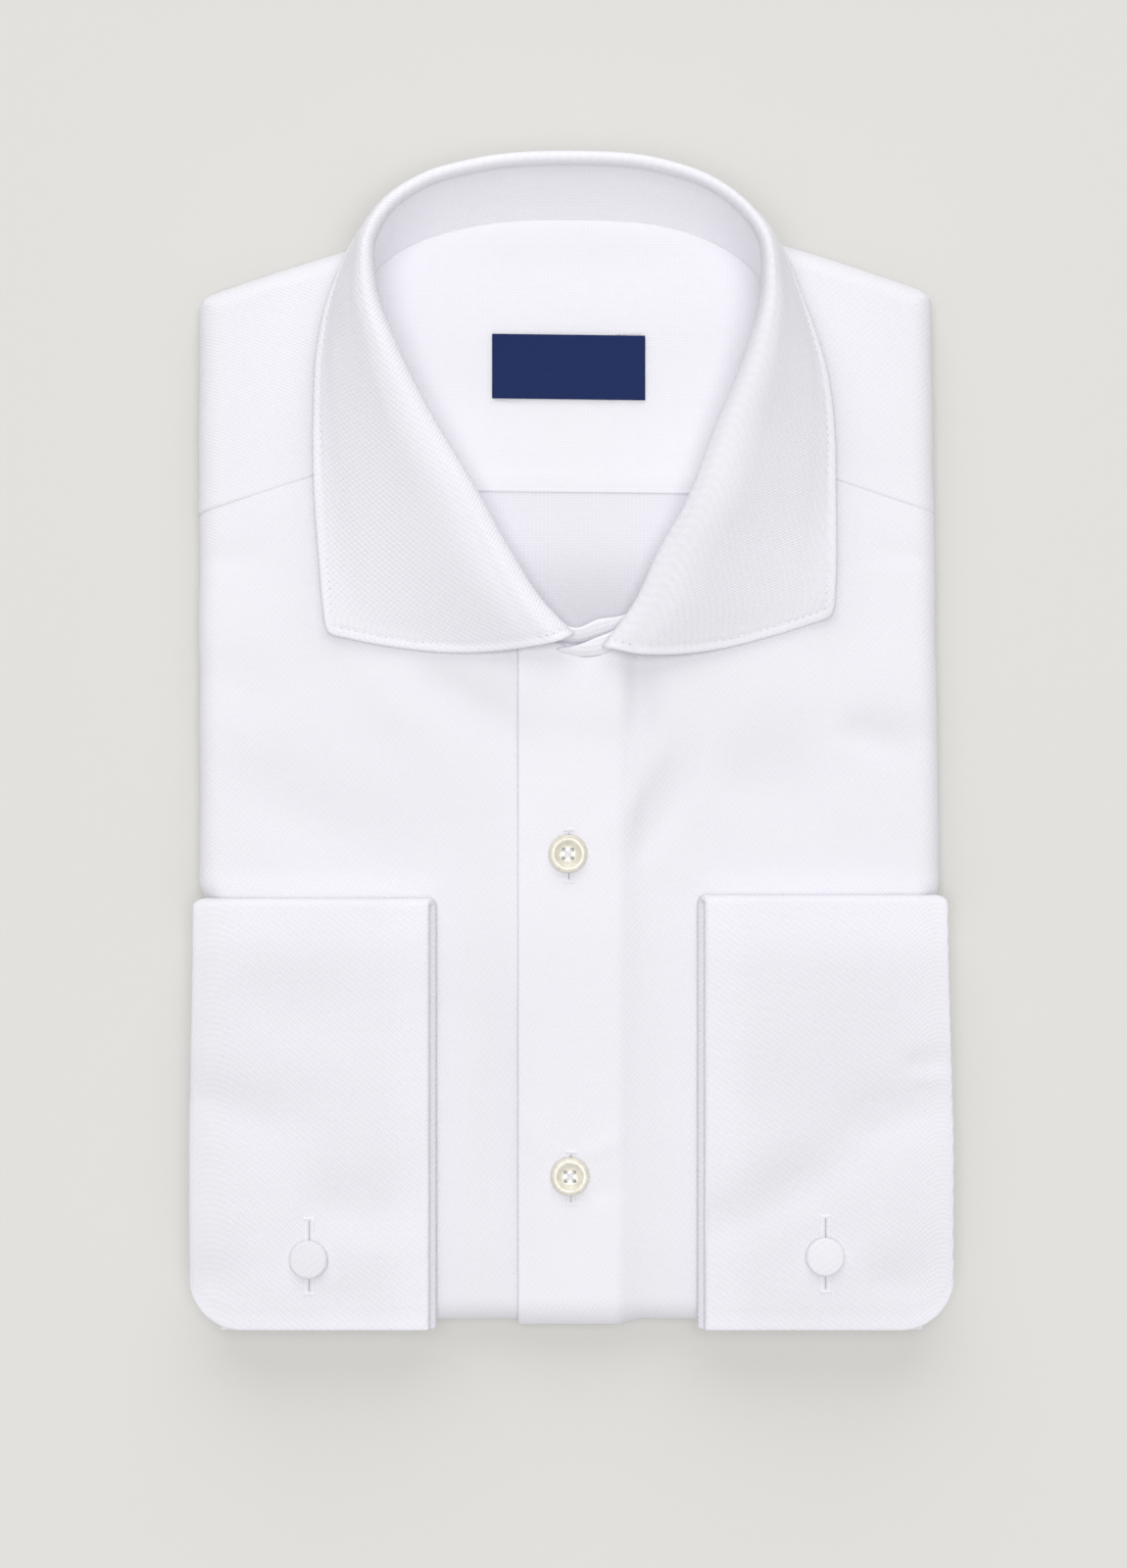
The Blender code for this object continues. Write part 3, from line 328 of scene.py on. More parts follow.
# ======================================================================= meshes
def mesh_object(name, points, faces, uv, finish, tone_and_painted_light=None):
    """A mesh object from points in garment millimetres and a list of face arrays.

    All faces of one array have as many sides. The last argument is the cloth's lightness at each point,
    its uneven tone together with painted light and shade: 0.5 is its plain colour, 0 a tenth darker
    and 1 up to a tenth lighter.
    """
    mesh = bpy.data.meshes.new(name)
    placed = (np.asarray(points, float) + (0.0, SHIFT_Y, 0.0)) * MM
    mesh.vertices.add(len(placed))
    mesh.vertices.foreach_set("co", placed.astype(np.float32).ravel())
    corners = np.concatenate([part.ravel() for part in faces]).astype(np.int32)
    sides = np.concatenate([np.full(len(part), part.shape[1]) for part in faces])
    mesh.loops.add(len(corners))
    mesh.loops.foreach_set("vertex_index", corners)
    mesh.polygons.add(len(sides))
    mesh.polygons.foreach_set("loop_start", (np.cumsum(sides) - sides).astype(np.int32))
    if uv is not None:
        layer = mesh.uv_layers.new(name="cloth")
        layer.data.foreach_set("uv", np.asarray(uv, np.float32)[corners].ravel())
    if tone_and_painted_light is not None:
        kept = mesh.attributes.new("tone_and_painted_light", "FLOAT", "POINT")
        kept.data.foreach_set("value", np.clip(tone_and_painted_light, 0.0, 1.0).astype(np.float32))
    mesh.update(calc_edges=True)
    mesh.validate()
    mesh.shade_smooth()
    obj = bpy.data.objects.new(name, mesh)
    obj.data.materials.append(finish)
    bpy.context.scene.collection.objects.link(obj)
    return obj


def grid_faces(index):
    """Quads between neighbouring rows and columns of an index grid."""
    return joined(index[:-1, :-1], index[:-1, 1:], index[1:, 1:], index[1:, :-1]).reshape(-1, 4)


def shell(name, middle, wall, finish, weave=None, rim=0.55, flip=False, tone_and_painted_light=0.0):
    """A closed cloth shell: the middle surface moved half the wall to each side.

    The wall falls to nothing at the grid's border as a quarter circle does, so each
    cut or folded edge is rounded. weave gives the pattern's coordinates in millimetres,
    the last argument the lightness from -1 to 1: the cloth's uneven tone with painted light and shade.
    """
    rows, columns = middle.shape[:2]
    nearest = np.minimum.reduce(edge_distances(middle))
    rounding = np.sqrt(1 - (1 - np.clip(nearest / rim, 0, 1)) ** 2)
    half = np.broadcast_to(wall, (rows, columns)) * rounding * 0.5
    out = normals(middle) * (-1 if flip else 1)
    top, low = middle + out * half[..., None], middle - out * half[..., None]
    index = np.arange(rows * columns).reshape(rows, columns)
    below = index.copy()
    inside = index[1:-1, 1:-1].ravel()
    below[1:-1, 1:-1] = (np.arange(len(inside)) + rows * columns).reshape(rows - 2, columns - 2)
    points = np.concatenate([top.reshape(-1, 3), low.reshape(-1, 3)[inside]])
    if weave is None:
        down, _, over, _ = edge_distances(middle)
        weave = joined(over, down)
    uv = weave.reshape(-1, 2)
    uv = np.concatenate([uv, uv[inside]])
    tone_and_painted_light = 0.5 + 0.5 * np.broadcast_to(tone_and_painted_light, (rows, columns)).ravel()
    tone_and_painted_light = np.concatenate([tone_and_painted_light, tone_and_painted_light[inside]])
    upper, lower = grid_faces(index), grid_faces(below)
    if not flip:
        lower = lower[:, ::-1]
    else:
        upper = upper[:, ::-1]
    return mesh_object(name, points, [upper, lower], uv, finish, tone_and_painted_light)


def tube_row(centres, along, length, radius):
    """Many short thread stitches in one mesh: six-sided spindles of given length, in given directions."""
    rings, sides = 5, 6
    along = unit(along)
    side = unit(np.cross((0.0, 0.0, 1.0), along))
    up = np.cross(along, side)
    part = np.linspace(-1, 1, rings)
    fat = np.sqrt(np.clip(1 - (np.abs(part) * 0.94) ** 3, 0, 1)) * radius
    turn = np.arange(sides) * 2 * math.pi / sides
    ring = side[:, None, None] * np.cos(turn)[:, None] + up[:, None, None] * np.sin(turn)[:, None]
    sink = -0.35 * radius * part ** 2
    points = (centres[:, None, None] + along[:, None, None] * (part * length / 2)[:, None, None]
              + up[:, None, None] * sink[:, None, None] + ring * fat[:, None, None])
    index = np.arange(len(centres) * rings * sides).reshape(len(centres), rings, sides)
    after = np.roll(index, -1, axis=2)
    walls = joined(index[:, :-1], after[:, :-1], after[:, 1:], index[:, 1:]).reshape(-1, 4)
    first = np.concatenate([index[:, 0, [3, 2, 1, 0]], index[:, 0, [5, 4, 3, 0]]])
    last = np.concatenate([index[:, -1, [0, 1, 2, 3]], index[:, -1, [0, 3, 4, 5]]])
    return points.reshape(-1, 3), np.concatenate([walls, first, last])


def sew(name, points, faces, finish):
    """Thread, or the holes and gaps beside it, as one mesh that rides on the body."""
    present(mesh_object(name, points, [faces], None, finish), None)


def stitches(name, paths, finish, length=STITCH_LENGTH, pitch=STITCH_PITCH, radius=THREAD, holes=False):
    """Rows of machine stitches along the paths, or of the needle holes between the stitches."""
    points, faces, start = [], [], 0
    for line in paths:
        at = np.arange(pitch / 2, distances(line)[-1] - pitch / 4, pitch)
        centre, along = places(line, at), places(line, at + 0.4) - places(line, at - 0.4)
        if holes:
            centre, length, radius = centre + along / 0.8 * pitch / 2, HOLE_LENGTH, HOLE_RADIUS
        made, quads = tube_row(centre, along, length, radius)
        points.append(made)
        faces.append(quads + start)
        start += len(made)
    sew(name, np.concatenate(points), np.concatenate(faces), finish)


def turned(name, profile, centre, finish):
    """A profile of (radius, height) carried round the upright axis; its ends lie on the axis."""
    profile, steps = np.asarray(profile, float), 72
    turn = np.arange(steps) * 2 * math.pi / steps
    ring = profile[1:-1]
    points = joined(ring[:, :1] * np.cos(turn), ring[:, :1] * np.sin(turn), ring[:, 1:]).reshape(-1, 3)
    ends = np.array([[0, 0, profile[0, 1]], [0, 0, profile[-1, 1]]])
    index = np.arange(len(ring) * steps).reshape(len(ring), steps)
    after = np.roll(index, -1, axis=1)
    walls = joined(index[:-1], index[1:], after[1:], after[:-1]).reshape(-1, 4)
    top, low = len(ring) * steps, len(ring) * steps + 1
    caps_top = joined(index[0], after[0], top)
    caps_low = joined(after[-1], index[-1], low)
    points = np.concatenate([points, ends]) + centre
    return mesh_object(name, points, [walls, caps_top, caps_low], None, finish)


def present(obj, node):
    """Rides the piece on the body and lets it stand for its node, whose solid it hides."""
    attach(obj, "root")
    if node:
        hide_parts(node)


# ======================================================================= materials
def add(tree, kind, settings=None, **inputs):
    """Adds a node, sets its settings, and sets or links each input, named or numbered as i0, i1."""
    node = tree.nodes.new(kind)
    for key, value in (settings or {}).items():
        setattr(node, key, value)
    for key, value in inputs.items():
        numbered = key[0] == "i" and key[1:].isdigit()
        socket = node.inputs[int(key[1:]) if numbered else key.replace("_", " ")]
        if isinstance(value, bpy.types.NodeSocket):
            tree.links.new(value, socket)
        else:
            socket.default_value = value
    return node


def new_material(name, colour, roughness, **sockets):
    """A Principled material with its node tree and shader; _ stands for a space in a socket's name."""
    material = bpy.data.materials.new(name)
    material.use_nodes = True
    shader = material.node_tree.nodes["Principled BSDF"]
    shader.inputs["Base Color"].default_value = linear(colour)
    shader.inputs["Roughness"].default_value = roughness
    for key, value in sockets.items():
        shader.inputs[key.replace("_", " ")].default_value = value
    return material, material.node_tree, shader


def woven(name, colour, angle, rib, cross, depth, shade=0.05, roughness=0.85, sheen=0.12, gloss=0.3):
    """Woven cotton: matt, with a soft sheen; the yarns give fine ribs set at an angle.

    rib and cross are the two yarn spacings in millimetres. The real pinpoint yarns lie
    0.4 mm apart, too fine to show, so the ribs are drawn about three times as coarse.
    """
    material, tree, shader = new_material(name, colour, roughness, Sheen_Weight=sheen, Sheen_Roughness=0.5)
    shader.inputs["Specular IOR Level"].default_value = gloss
    place = add(tree, "ShaderNodeUVMap", {"uv_map": "cloth"})
    turn = add(tree, "ShaderNodeMapping", Vector=place.outputs[0], Rotation=(0.0, 0.0, math.radians(angle)))
    wobble = add(tree, "ShaderNodeTexNoise", Vector=place.outputs[0], Scale=0.35, Detail=3.0)
    spacing = 0.314159                                    # a wave texture's band spacing at scale 1
    uneven_ribs = 1.2
    bands = {"wave_type": "BANDS", "bands_direction": "X", "wave_profile": "SIN"}
    ribs = add(tree, "ShaderNodeTexWave", bands, Vector=turn.outputs[0], Scale=spacing / rib,
               Distortion=uneven_ribs, Detail=2.0, Detail_Scale=1.6)
    bands["bands_direction"] = "Y"
    yarns = add(tree, "ShaderNodeTexWave", bands, Vector=turn.outputs[0], Scale=spacing / cross,
                Distortion=1.3 * uneven_ribs, Detail=2.0, Detail_Scale=2.4)
    woven_height = add(tree, "ShaderNodeMath", {"operation": "MULTIPLY_ADD"}, i0=ribs.outputs["Fac"], i1=0.7,
                       i2=yarns.outputs["Fac"])
    uneven = add(tree, "ShaderNodeMath", {"operation": "MULTIPLY_ADD"}, i0=wobble.outputs["Fac"], i1=0.8,
                 i2=woven_height.outputs[0])
    bump = add(tree, "ShaderNodeBump", Height=uneven.outputs[0], Strength=1.0, Distance=depth * MM)
    tree.links.new(bump.outputs[0], shader.inputs["Normal"])
    plain = np.array(linear(colour)[:3])
    low, high = (*(plain * 0.9), 1.0), (*(plain * min(1.1, 0.96 / plain.max())), 1.0)
    # The lightness attribute carries the cloth's uneven tone and the painted light and shade set on each
    # piece.
    kept = add(tree, "ShaderNodeAttribute", {"attribute_name": "tone_and_painted_light"})
    lightness = add(tree, "ShaderNodeMix", {"data_type": "RGBA"}, i0=kept.outputs["Fac"], i6=low, i7=high)
    # Painted shade: the hollows between the yarns are darkened by the shade share.
    yarn_hollow_shade = add(tree, "ShaderNodeMath", {"operation": "SUBTRACT"}, i0=1.0, i1=woven_height.outputs[0])
    tone_and_painted_light = add(tree, "ShaderNodeMix", {"data_type": "RGBA", "blend_type": "MULTIPLY"}, i0=yarn_hollow_shade.outputs[0],
               i6=lightness.outputs[2], i7=(1 - shade, 1 - shade, 1 - shade, 1.0))
    tree.links.new(tone_and_painted_light.outputs[2], shader.inputs["Base Color"])
    return material


# Pinpoint cotton shirting, mercerised and pressed: clean bluish white, matt, fine diagonal grain.
shirting = woven("pinpoint_cotton", HEX["shirting"], 38.0, 1.35, 0.9, 0.055)
# The same cloth on a fused interlining: flatter, with broader ribs on the bias.
fused_cotton = woven("fused_pinpoint_collar", HEX["collar"], 52.0, 1.9, 0.9, 0.085)
cuff_cotton = woven("fused_pinpoint_cuff", HEX["cuff"], 52.0, 1.5, 0.9, 0.07)
# The band's cloth is set lighter than the other whites: painted light for the shaded inside of the stand.
band_cotton_painted_light = woven("fused_collar_band_painted_light", HEX["band"], 0.0, 1.2, 1.6, 0.08, shade=0.04)
# Painted light: the band's cloth glows faintly, to lighten the shaded inside of the neck; thin white cloth
# does let some daylight through.
painted_light_emission = band_cotton_painted_light.node_tree.nodes["Principled BSDF"]
painted_light_emission.inputs["Emission Color"].default_value = linear(HEX["painted_light_emission"])
painted_light_emission.inputs["Emission Strength"].default_value = 0.08
# Wrong side of the cloth inside the neck: finer upright ribs.
inside_cotton = woven("pinpoint_cotton_inside", HEX["inside"], 0.0, 1.2, 0.8, 0.035, shade=0.035)
# The inner back is a darker copy of the inside cloth: painted shade low in the neck opening.
inner_back_shaded_cotton = woven("pinpoint_cotton_back_painted_shade", HEX["back"], 0.0, 1.2, 0.8, 0.05, shade=0.05)
# Damask-woven polyester label tape: dense and flat, deep navy.
label_tape = woven("navy_damask_tape", HEX["label"], 0.0, 0.6, 0.7, 0.05, shade=0.25, roughness=0.55,
                   sheen=0.0, gloss=0.08)
# Spun polyester sewing thread: white with a slight lustre.
thread, _, _ = new_material("spun_polyester_thread", HEX["thread"], 0.6, Sheen_Weight=0.2)
# Painted shade: grey spindles set in needle holes and buttonhole slits stand for the shade in them.
hole_painted_shade, _, _ = new_material("painted_shade_in_holes", HEX["shade"], 0.9)


def pearl_material():
    """Cast pearl polyester button: cream, glossy, with a cloudy sheen under its surface."""
    material, tree, shader = new_material("cast_pearl_polyester", HEX["pearl"], 0.22, Coat_Weight=0.5,
                                          Coat_Roughness=0.08, IOR=1.56)
    shader.inputs["Subsurface Weight"].default_value = 0.25
    shader.inputs["Subsurface Radius"].default_value = (0.002, 0.0018, 0.0012)
    place = add(tree, "ShaderNodeTexCoord")
    cloud = add(tree, "ShaderNodeTexNoise", Vector=place.outputs["Object"], Scale=260.0, Detail=3.0,
                Distortion=1.6)
    ramp = add(tree, "ShaderNodeValToRGB", Fac=cloud.outputs["Fac"])
    for stop, position, code in zip(ramp.color_ramp.elements, (0.3, 0.7), ("pearl_low", "pearl_high")):
        stop.position, stop.color = position, linear(HEX[code])
    tree.links.new(ramp.outputs[0], shader.inputs["Base Color"])
    return material


pearl = pearl_material()


# ======================================================================= the folded body
def edge_wrap(distance, half, lift):
    """A distance over the cloth, turned down over an edge: straight, then a quarter circle."""
    flat = half - EDGE_RADIUS
    angle = np.clip((distance - flat) / EDGE_RADIUS, 0.0, math.pi / 2)
    reach = np.minimum(distance, flat) + (EDGE_RADIUS + lift) * np.sin(angle)
    return reach, (EDGE_RADIUS + lift) * (1.0 - np.cos(angle))


def round_corner(x, y, half_x, half_y, lift):
    """Moves points of the corner square on to its quarter disc."""
    radius = np.maximum(CORNER_RADIUS + lift, 0.1)
    start_x, start_y = half_x - CORNER_RADIUS, half_y - CORNER_RADIUS
    a = np.clip((x - start_x) / radius, 0.0, 1.0)
    b = np.clip((y - start_y) / radius, 0.0, 1.0)
    both = (a > 0) & (b > 0)
    x = np.where(both, start_x + radius * a * np.sqrt(1 - b * b / 2), x)
    y = np.where(both, start_y + radius * b * np.sqrt(1 - a * a / 2), y)
    return x, y


def shoulder_scale(x):
    """The back edge runs forward towards the shoulder ends, a little less on the wearer's left."""
    part = np.clip(np.abs(x) / HALF_WIDTH, 0.0, 1.0)
    drop = np.where(np.asarray(x) < 0, *SHOULDER_DROP)
    return 1.0 - drop / BACK * part ** SHOULDER_POWER


def side_shift(x, y):
    """Sideways shift of the cloth: nothing in the middle or below the cuffs, most at the side folds."""
    part = np.clip(np.abs(x) / HALF_WIDTH, 0.0, 1.0) ** 3
    flare = SIDE_FLARE * np.clip(110.0 - y, 0.0, 160.0)
    return part * np.where(x < 0, SIDE_SHIFT[0], SIDE_SHIFT[1] + flare) * ease(y, -50.0, -42.0)


def on_body(over_x, over_y, lift):
    """Points over the folded body, lift above the inner layers, from distances on the cloth."""
    over_x, over_y, lift = np.broadcast_arrays(np.asarray(over_x, float), np.asarray(over_y, float),
                                               np.asarray(lift, float))
    inset = WALL + GAP
    half_x, half_y = HALF_WIDTH - inset, np.where(over_y > 0, BACK, FRONT) - inset
    x, drop_x = edge_wrap(np.abs(over_x), half_x, lift)
    y, drop_y = edge_wrap(np.abs(over_y), half_y, lift)
    x, y = round_corner(x, y, half_x, half_y, lift)
    drop = np.minimum((drop_x ** 8 + drop_y ** 8) ** 0.125, EDGE_RADIUS + lift)
    x, y = np.sign(over_x) * x, np.sign(over_y) * y
    y = np.where(y > 0, y * shoulder_scale(x), y)
    return joined(x + side_shift(x, y), y, CORE_TOP + lift - drop)


def crown(x, y):
    """The stack's rise in the middle: one parabola across, times one along."""
    across = np.clip(1 - (x / 100.0) ** 2, 0.0, 1.0)
    along = np.clip(1 - (y / 165.0) ** 2, 0.0, 1.0)
    return CROWN * across * along


def button_pull(x, y):
    """The cloth dips a little under each button and puckers beside it."""
    total = 0.0
    for cx, cy in BUTTONS.values():
        away = np.hypot(x - cx, (y - cy) * 0.8)
        angle = np.arctan2(y - cy, x - cx)
        total = total - 0.35 * bell(away, 6.0)
        total = total + 0.13 * np.sin(3 * angle + 0.7) * bell(away - 9.0, 6.0)
    return total


def relief(x, y):
    """The fronts' creases, with a long and a short drift."""
    return creases(x, y, FRONT_CREASES) + drift(x, y, 5, 60.0, 0.16) + drift(x, y, 8, 22.0, 0.04)


def left_top(x, y):
    """Lift of the left front's outside: over the right front at the placket, then down."""
    over_lap = fall(x, PLACKET_FOLD - 1.0, PLACKET_FOLD + 8.0)
    placket = fall(x, PLACKET_FOLD - 0.4, PLACKET_FOLD + 0.8)
    soft = relief(x, y) * (0.2 + 0.8 * ease(x, PLACKET_FOLD, PLACKET_FOLD + 5))
    soft = soft + creases(x, y, PLACKET_CREASES)
    beside = -0.3 * bell(x - PLACKET_FOLD - 5.5, 4.0)
    return GAP + WALL + crown(x, y) + over_lap * 1.25 + placket * 0.35 + beside + soft + button_pull(x, y)


def right_top(x, y):
    """Lift of the right front's outside, plain where it runs in under the left one."""
    return GAP + WALL + crown(x, y) + relief(x, y) * ease(-x, 2.0, 20.0)


def yoke_seam(x):
    """The yoke's front seam: straight from each side, and further up towards the neck."""
    return YOKE_SEAM_AT_SIDE + YOKE_SEAM_SLOPE * (HALF_WIDTH - np.minimum(np.abs(x), HALF_WIDTH))


def outward(path):
    """Unit vectors in plan, square to a path that runs clockwise seen from above."""
    along = np.gradient(path[:, :2], axis=0)
    return unit(np.stack([-along[:, 1], along[:, 0]], axis=1))


def neckline(offset, rows=STAND):
    """The stand's foot in plan, moved outward by offset."""
    seam = through([(row[6], row[7], 0.0) for row in rows], np.linspace(0.0, 1.0, 400))[:, :2]
    return seam + outward(seam) * offset


def front_boundary(side, x):
    """Top edge of a front at each x: the lower of the neckline and the yoke seam."""
    path = neckline(SEWN)
    middle = len(path) // 2
    path = path[:middle] if side < 0 else path[middle:]
    path = path[path[:, 1] < 100.0]
    order = np.argsort(side * path[:, 0])
    neck = np.interp(side * x, side * path[order, 0], path[order, 1], right=1000.0)
    if side > 0:                                              # it runs on below the band's outer end
        neck = neck + 2.6 * ease(x, -18.0, -14.0) * fall(x, -4.0, 3.0)
    return np.minimum(neck, yoke_seam(x) - 0.12)


def painted_leaf_shadow(points):
    """Painted shadow round the leaf's edge on the cloth below it: a narrow dark line and a broad soft one."""
    in_plan = (1.0, 1.0, 0.0)
    edge = through(COLLAR, np.linspace(0.0, 1.0, 300))[:, 3:6]
    gap = away_from(points * in_plan, edge * in_plan)
    return -0.55 * bell(gap, 1.8) - 0.35 * bell(gap, 8.0)


def make_front(name, side, top_of):
    """A front: columns of cloth from the bottom fold up to the neckline and yoke seam."""
    half = HALF_WIDTH - WALL - GAP
    start = PLACKET_LEFT if side > 0 else -UNDERLAP_END
    x = start + spaced(half + EDGE_EXTRA - start, 1.5)
    x = x if side > 0 else -x
    plan_x = np.sign(x) * np.minimum(np.abs(x), HALF_WIDTH)
    top = front_boundary(side, plan_x) / shoulder_scale(plan_x)
    bottom = -(FRONT - WALL - GAP + EDGE_EXTRA)
    share = spaced(250.0, 1.55) / 250.0
    y = bottom + (top - bottom)[None, :] * share[:, None]
    across = np.broadcast_to(x, y.shape)
    wall = np.full(y.shape, SHIRTING)
    placket = fall(across, PLACKET_FOLD - 0.5, PLACKET_FOLD + 0.5)
    if side > 0:
        wall = wall + (PLACKET_CLOTH - SHIRTING) * placket
    points = on_body(across, y, top_of(across, y) - wall / 2)
    weave = joined(across, y)
    # Lighter towards the neck; painted shade between the cuffs, darker still low down away from the placket,
    # and a painted lighter band just above the cuffs' tops. drift is the cloth's uneven tone.
    tone_and_painted_light = 0.2 * ease(y, 0.0, 30.0) - 0.25 * fall(y, -70.0, -45.0)
    tone_and_painted_light = tone_and_painted_light + 0.04 * drift(across, y, 12, 80.0, 1.0)
    tone_and_painted_light = tone_and_painted_light - 0.25 * fall(y, -172.0, -140.0) * (np.abs(across + 0.7) > 15.0)
    tone_and_painted_light = tone_and_painted_light + 0.3 * bell(y + 43.0, 4.0) * ease(np.abs(across), 36.0, 44.0)
    # The placket lighter, with a band of painted shade across it below the collar and painted shade beside
    # its fold.
    if side > 0:
        tone_and_painted_light = tone_and_painted_light + (0.3 - 0.35 * bell(y - 4.0, 6.0)) * placket
        tone_and_painted_light = tone_and_painted_light - 0.15 * bell(across - PLACKET_FOLD - 5.5, 4.5) * (across > PLACKET_FOLD)
    # The leaf's painted shadow, and painted shade on the troughs' long slopes.
    tone_and_painted_light = tone_and_painted_light + painted_leaf_shadow(points)
    tone_and_painted_light = tone_and_painted_light - 0.22 * creases(across, y, FRONT_CREASES, shade=True)
    obj = shell(name, points, wall, shirting, weave, flip=side < 0, tone_and_painted_light=tone_and_painted_light)
    present(obj, name)


def make_yoke():
    """Both shoulders in one piece: lines from the neckline out over the folded edge."""
    path = neckline(SEWN)
    path = path[path[:, 1] > yoke_seam(path[:, 0]) - YOKE_LAP]
    half_x, half_y = HALF_WIDTH - WALL - GAP, BACK - WALL - GAP
    far_x, far_y = half_x + EDGE_EXTRA, half_y + EDGE_EXTRA
    near = np.array([14.0, 11.5, 9.5, 8.0, 6.8, 5.8, 4.8, 3.9, 3.0, 2.2, 1.4, 0.7, 0.0])
    across_x = np.concatenate([near[::-1] - far_x, np.linspace(16.0 - far_x, far_x - 16.0, 90), far_x - near])

    def up(side):
        seam_end = (yoke_seam(far_x) - YOKE_LAP) / shoulder_scale(side * half_x)
        rise = seam_end + spaced(far_y - seam_end - 16.0, 2.2)[:-5]
        up_y = np.concatenate([rise, far_y - near])
        return np.stack([np.full(len(up_y), side * far_x), up_y], axis=1)

    over_back = np.stack([across_x, np.full(len(across_x), far_y)], axis=1)
    outer = np.concatenate([up(-1)[:-1], over_back, up(1)[-2::-1]])
    walked = distances(outer)
    index = walked / walked[-1] * (len(path) - 1)
    inner = np.stack([np.interp(index, np.arange(len(path)), path[:, k]) for k in (0, 1)], axis=1)
    inner[:, 1] /= shoulder_scale(inner[:, 0])
    near_seam = [0.0, 0.12, 0.35, 0.7, 1.2]
    near_edge = np.array([14.5, 13, 11.5, 10, 8.8, 7.6, 6.4, 5.2, 4.1, 3.1, 2.2, 1.4, 0.8, 0.4, 0.15, 0.0])
    shares = []
    for length in np.linalg.norm(outer - inner, axis=1):
        flat = np.linspace(2.0, max(length - 16.0, 3.0), 26)
        shares.append(np.concatenate([near_seam, flat, length - near_edge]) / length)
    shares = np.maximum.accumulate(np.array(shares).T, axis=0)
    flat = inner[None] + (outer - inner)[None] * shares[..., None]
    x, y = flat[..., 0], flat[..., 1]
    from_seam = y * shoulder_scale(x) - yoke_seam(x) + YOKE_LAP
    raised = 0.16 + 0.18 * bell(from_seam - 1.6, 1.3) - 0.1 * ease(from_seam, 3.0, 9.0)
    lift = GAP + WALL + crown(x, y) + raised + drift(x, y, 21, 40.0, 0.12) - SHIRTING / 2
    points = on_body(x, y, lift)
    # The leaf's painted shadow round the collar; the seam is a dark line.
    tone_and_painted_light = 0.05 - 0.6 * bell(from_seam, 0.6) + painted_leaf_shadow(points)
    obj = shell("yoke", points, SHIRTING, shirting, flat, tone_and_painted_light=tone_and_painted_light)
    present(obj, "yoke")


def make_inside():
    """Inner yoke and back: rows across the neck opening, from one side of the neckline to the other."""
    ring = neckline(0.0, COLLAR)
    ring = ring + outward(ring) * (1.5 * ease(ring[:, 1:2], 110.0, 145.0) - 0.2)
    ring = ring[ring[:, 1] > 31.0]
    peak = int(np.argmax(ring[:, 1]))
    left, right = ring[:peak + 1], ring[peak:][::-1]

    def rows_between(low, high, step):
        y = low + spaced(high - low, step)
        x0 = np.interp(y, left[:, 1], left[:, 0])
        x1 = np.interp(y, right[:, 1], right[:, 0])
        share = spaced(100.0, 1.6) / 100.0
        x = x0[:, None] + (x1 - x0)[:, None] * share
        return x, np.broadcast_to(y[:, None], x.shape)

    for name, low, high, rise, flat, share in (
            ("inner_yoke", INNER_YOKE_SEAM - 1.0, ring[peak, 1] - 0.15, 0.45, (0.124, 0.079), 0.97),
            ("inner_back", INNER_BACK_END, INNER_YOKE_SEAM + 1.5, -0.1, (0.100, 0.047), 0.74)):
        x, y = rows_between(low, high, 1.3)
        bank = 2.2 * bell(y - 156.0, 9.0) if name == "inner_yoke" else 0.0
        z = CORE_TOP + GAP + 0.7 + rise + bank + drift(x, y, 31, 38.0, 0.18) - 0.45
        if name == "inner_yoke":
            z = z + 0.3 * bell(y - INNER_YOKE_SEAM - 3.0, 2.5)
        askew = fall(y, INNER_YOKE_SEAM, INNER_YOKE_SEAM + 30.0)
        y = y - 0.012 * x * askew * ease(y, 40.0, INNER_YOKE_SEAM)
        # The inner yoke lighter towards the back; the inner back darker towards the front of the opening,
        # painted shade deep in the V.
        if name == "inner_yoke":
            finish, tone_and_painted_light = inside_cotton, 0.9 * ease(y, 112.0, 142.0) - 0.1
        else:
            finish, tone_and_painted_light = inner_back_shaded_cotton, 2.0 * ease(y, 38.0, 64.0) - 1.0
        points = joined(x, y, z)
        from_side = np.minimum(*edge_distances(points)[2:])
        # Painted shade by the stand's foot at the shoulder corners.
        tone_and_painted_light = tone_and_painted_light - 0.9 * fall(from_side, 0.0, 11.0) * bell(y - 136.0, 16.0)
        obj = shell(name, points, INSIDE_CLOTH, finish, points[..., :2], tone_and_painted_light=tone_and_painted_light)
        present(obj, name)


